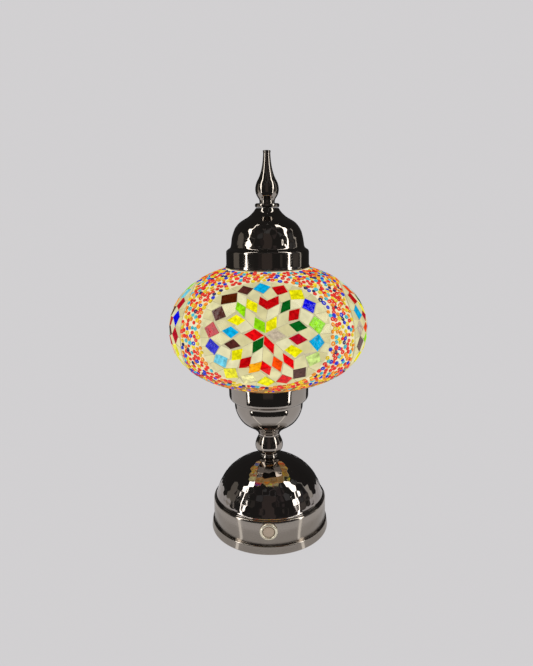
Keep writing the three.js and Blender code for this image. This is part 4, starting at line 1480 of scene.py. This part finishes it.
for i, k in enumerate((-1, 0, 1)):
    flip = -1 if k == 0 else 1
    C = coil_points(7.2, 4.6, 2.6, 3.5, 0.4)
    pts = np.c_[flip * (-29.0 + C[:, 2]), C[:, 0] + k * 15.2, C[:, 1] + 11.55]
    V, P = sweep(pts, 0.4, 8)
    piece(f"cell_spring_{i + 1}", make_mesh(f"cell_spring_{i + 1}", V, P, 60), steel, "base", (f"battery_spring_{i + 1}",))
C = coil_points(11.4, 4.0, 4.0, 6, 0.4)
V, P = sweep(as_switch(C + np.array([0, 0, 9.4])), 0.4, 8)
piece("return_spring", make_mesh("return_spring", V, P, 60), steel, "base", ("button_spring",))

# CAD nodes that stay: a fitting material on each
KEEP = {
    "dome_washer": steel, "dome_nut": brass, "cup_nut": brass, "nipple": brass, "holder_contact": brass, "globe_clip": steel, "cap_clip": steel,
    "cap_washer": steel, "cap_nut": steel, "finial_stud": steel, "cover_screw_1": steel, "cover_screw_2": steel, "cover_screw_3": steel,
    "contact_plate_1": steel, "contact_plate_2": steel, "contact_plate_3": steel, "contact_plate_4": steel, "switch_nut": steel,
    "bottom_cover": black_plastic, "battery_door": black_plastic, "battery_box": black_plastic, "driver_board": board_green, "led_board": board_green,
    "supply_lead": lead_red, "switch_lead": lead_red, "battery_lead": lead_red,
}
for n, mat in KEEP.items():
    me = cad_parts[n].data
    me.materials.clear()
    me.materials.append(mat)

# ------------------------------------------------------------------ stage: floor, backdrop colour, reflection panels, lights
BACK = srgb(209.6, 207.8, 209.4)
world = bpy.data.worlds.new("world")
scene.world = world
world.use_nodes = True
world.node_tree.nodes["Background"].inputs["Color"].default_value = (*BACK, 1)
world.node_tree.nodes["Background"].inputs["Strength"].default_value = 1.0


def stage_mesh(name, V, F, material, **vis):
    me = bpy.data.meshes.new(name)
    me.from_pydata([tuple(p) for p in V], [], [tuple(f) for f in F])
    me.materials.append(material)
    o = bpy.data.objects.new(name, me)
    bpy.context.scene.collection.objects.link(o)
    for k, val in vis.items():
        setattr(o, k, val)
    return o


floor_mat, nt, b = new_mat("floor")
b.inputs["Base Color"].default_value = (0.035, 0.035, 0.035, 1)
b.inputs["Roughness"].default_value = 0.9
b.inputs["Specular IOR Level"].default_value = 0.0
b.inputs["Emission Color"].default_value = (*BACK, 1)
b.inputs["Emission Strength"].default_value = 0.965
def floor_reach(az):
    """How far the pale floor near the lamp runs, by azimuth from the front."""
    az = abs(az)
    if az < 63:
        return 0.2
    return 0.2 + (0.95 - 0.2) * min(1.0, (az - 63) / 4) if az < 128 else max(0.3, 0.95 - 0.65 * (az - 128) / 6)


ring_az = sorted(set([a for a in range(-180, 180, 3)] + [-128, -134, -67, -63, 63, 67, 128, 134]))
near = [(floor_reach(a) * math.sin(math.radians(a + VIEW_AZ)), -floor_reach(a) * math.cos(math.radians(a + VIEW_AZ)), 0.0) for a in ring_az]
nn = len(near)
stage_mesh("floor_near", [(0, 0, 0)] + near, [(0, 1 + i, 1 + (i + 1) % nn) for i in range(nn)], floor_mat)
W = 12.0
rim = [(W * math.sin(math.radians(a + VIEW_AZ)), -W * math.cos(math.radians(a + VIEW_AZ)), 0.0) for a in ring_az]
stage_mesh("floor_far", near + rim, [(i, nn + i, nn + (i + 1) % nn, (i + 1) % nn) for i in range(nn)], floor_mat, visible_glossy=False)

ONLY_GLOSS = dict(visible_camera=False, visible_diffuse=False, visible_transmission=False, visible_volume_scatter=False, visible_shadow=False)


def panel(name, az0, az1, el0, el1, color, strength, R=3.0, lean=0.0):
    """Part of a sphere seen only in reflections: azimuth from the front towards +X, leaning with height."""
    m = bpy.data.materials.new("panel_" + name)
    m.use_nodes = True
    t = m.node_tree
    t.nodes.clear()
    e = t.nodes.new("ShaderNodeEmission")
    e.inputs["Color"].default_value = (*color, 1)
    e.inputs["Strength"].default_value = strength
    o = t.nodes.new("ShaderNodeOutputMaterial")
    t.links.new(e.outputs[0], o.inputs[0])
    V, F = [], []
    na = max(2, int(abs(az1 - az0) / 6) + 2)
    ne = max(2, int(abs(el1 - el0) / 6) + 2)
    for i in range(ne):
        el = math.radians(el0 + (el1 - el0) * i / (ne - 1))
        for j in range(na):
            az = math.radians(VIEW_AZ + az0 + (az1 - az0) * j / (na - 1) + lean * (math.degrees(el) - el0))
            V.append((R * math.sin(az) * math.cos(el), -R * math.cos(az) * math.cos(el), R * math.sin(el) + 0.15))
    for i in range(ne - 1):
        for j in range(na - 1):
            F.append((i * na + j, i * na + j + 1, (i + 1) * na + j + 1, (i + 1) * na + j))
    return stage_mesh("panel_" + name, V, F, m, **ONLY_GLOSS)


WHITE = (1.0, 0.985, 0.95)

# the lamp's own shade on the floor behind it, as the bright metal shows it
shade_mat = bpy.data.materials.new("floor_shade")
shade_mat.use_nodes = True
t_ = shade_mat.node_tree
t_.nodes.clear()
e_ = t_.nodes.new("ShaderNodeEmission")
e_.inputs["Color"].default_value = (0.9, 0.92, 1.0, 1)
e_.inputs["Strength"].default_value = 0.02
o_ = t_.nodes.new("ShaderNodeOutputMaterial")
t_.links.new(e_.outputs[0], o_.inputs[0])
stage_mesh("floor_shade", [(-0.07, 0.068, 0.0008), (0.07, 0.068, 0.0008), (0.2, 0.27, 0.0008), (-0.2, 0.27, 0.0008)], [(0, 1, 2, 3)], shade_mat, **ONLY_GLOSS)
panel("room", -180, 180, -89, 89, (1.0, 0.96, 0.95), 0.026, 4.0)
panel("left", -61.8, -57.6, -24, 8, WHITE, 5.0)
panel("left_up", -65.5, -55.0, 8, 74, WHITE, 4.5, lean=-0.3)
panel("right", 58.1, 62.3, -24, 8, WHITE, 5.0)
panel("right_up", 55.5, 66.0, 8, 74, WHITE, 4.5, lean=0.3)
for side in (-1, 1):
    # light of the strips on the table, a little brighter than the table around it
    ends = []
    for c in (29.8, 32.8):
        p, q = math.radians(side * c + VIEW_AZ), math.radians(side * 2 * c + VIEW_AZ)
        x, y = 0.0545 * math.sin(p), -0.0545 * math.cos(p)
        ends.append([(x + t * math.sin(q), y - t * math.cos(q), 0.0004) for t in (0.0032, 0.16)])
    strip = [ends[0][0], ends[0][1], ends[1][1], ends[1][0]]
    sm = bpy.data.materials.new("sheen_%d" % (side + 1))
    sm.use_nodes = True
    st = sm.node_tree
    st.nodes.clear()
    se = st.nodes.new("ShaderNodeEmission")
    se.inputs["Color"].default_value = (1.0, 0.985, 0.96, 1)
    se.inputs["Strength"].default_value = 1.22
    so = st.nodes.new("ShaderNodeOutputMaterial")
    st.links.new(se.outputs[0], so.inputs[0])
    stage_mesh("sheen_%d" % (side + 1), strip, [(0, 1, 2, 3)], sm, **ONLY_GLOSS)
ring = [(r * math.sin(t), -r * math.cos(t), 0.0003) for t in np.arange(72) * math.pi / 36 for r in (0.0575, 0.084)]
cm = bpy.data.materials.new("contact_shade")
cm.use_nodes = True
cm.node_tree.nodes.clear()
ce = cm.node_tree.nodes.new("ShaderNodeEmission")
ce.inputs["Color"].default_value = (0.47, 0.455, 0.45, 1)
ce.inputs["Strength"].default_value = 1.0
co = cm.node_tree.nodes.new("ShaderNodeOutputMaterial")
cm.node_tree.links.new(ce.outputs[0], co.inputs[0])
stage_mesh("contact_shade", ring, [(2 * i, 2 * i + 1, (2 * i + 3) % 144, (2 * i + 2) % 144) for i in range(72)], cm, **ONLY_GLOSS)
g = np.random.default_rng(31)
for k in range(44):
    # faint unevenness of the dark room
    a0, e0 = g.uniform(-100, 92), g.uniform(-6, 62)
    wa, we = g.uniform(5, 14), g.uniform(6, 18)
    tone = g.uniform(0.035, 0.10) * (1.0 if abs(a0) < 55 else 1.3)
    panel("room_%02d" % k, a0, a0 + wa, e0, e0 + we, [(1.0, 0.9, 0.84), (1.0, 0.84, 0.86), (0.95, 0.96, 1.0)][k % 3], tone, 3.8)
panel("left_side", -106, -84, -25, 0, (1.0, 0.93, 0.84), 0.42)
panel("left_side_up", -106, -84, 0, 28, (1.0, 0.93, 0.84), 0.2)
panel("right_side", 99, 104, -25, 0, (1.0, 0.96, 0.9), 1.0)
panel("right_side_up", 99, 104, 0, 40, (1.0, 0.96, 0.9), 0.6)
panel("left_low", -84, -66, -24, -7, (1.0, 0.95, 0.9), 0.2)
panel("right_low", 66, 99, -24, -7, (1.0, 0.95, 0.9), 0.2)
panel("centre_dim", -16, 12, -20, 40, (1.0, 0.82, 0.78), 0.07, 3.5)
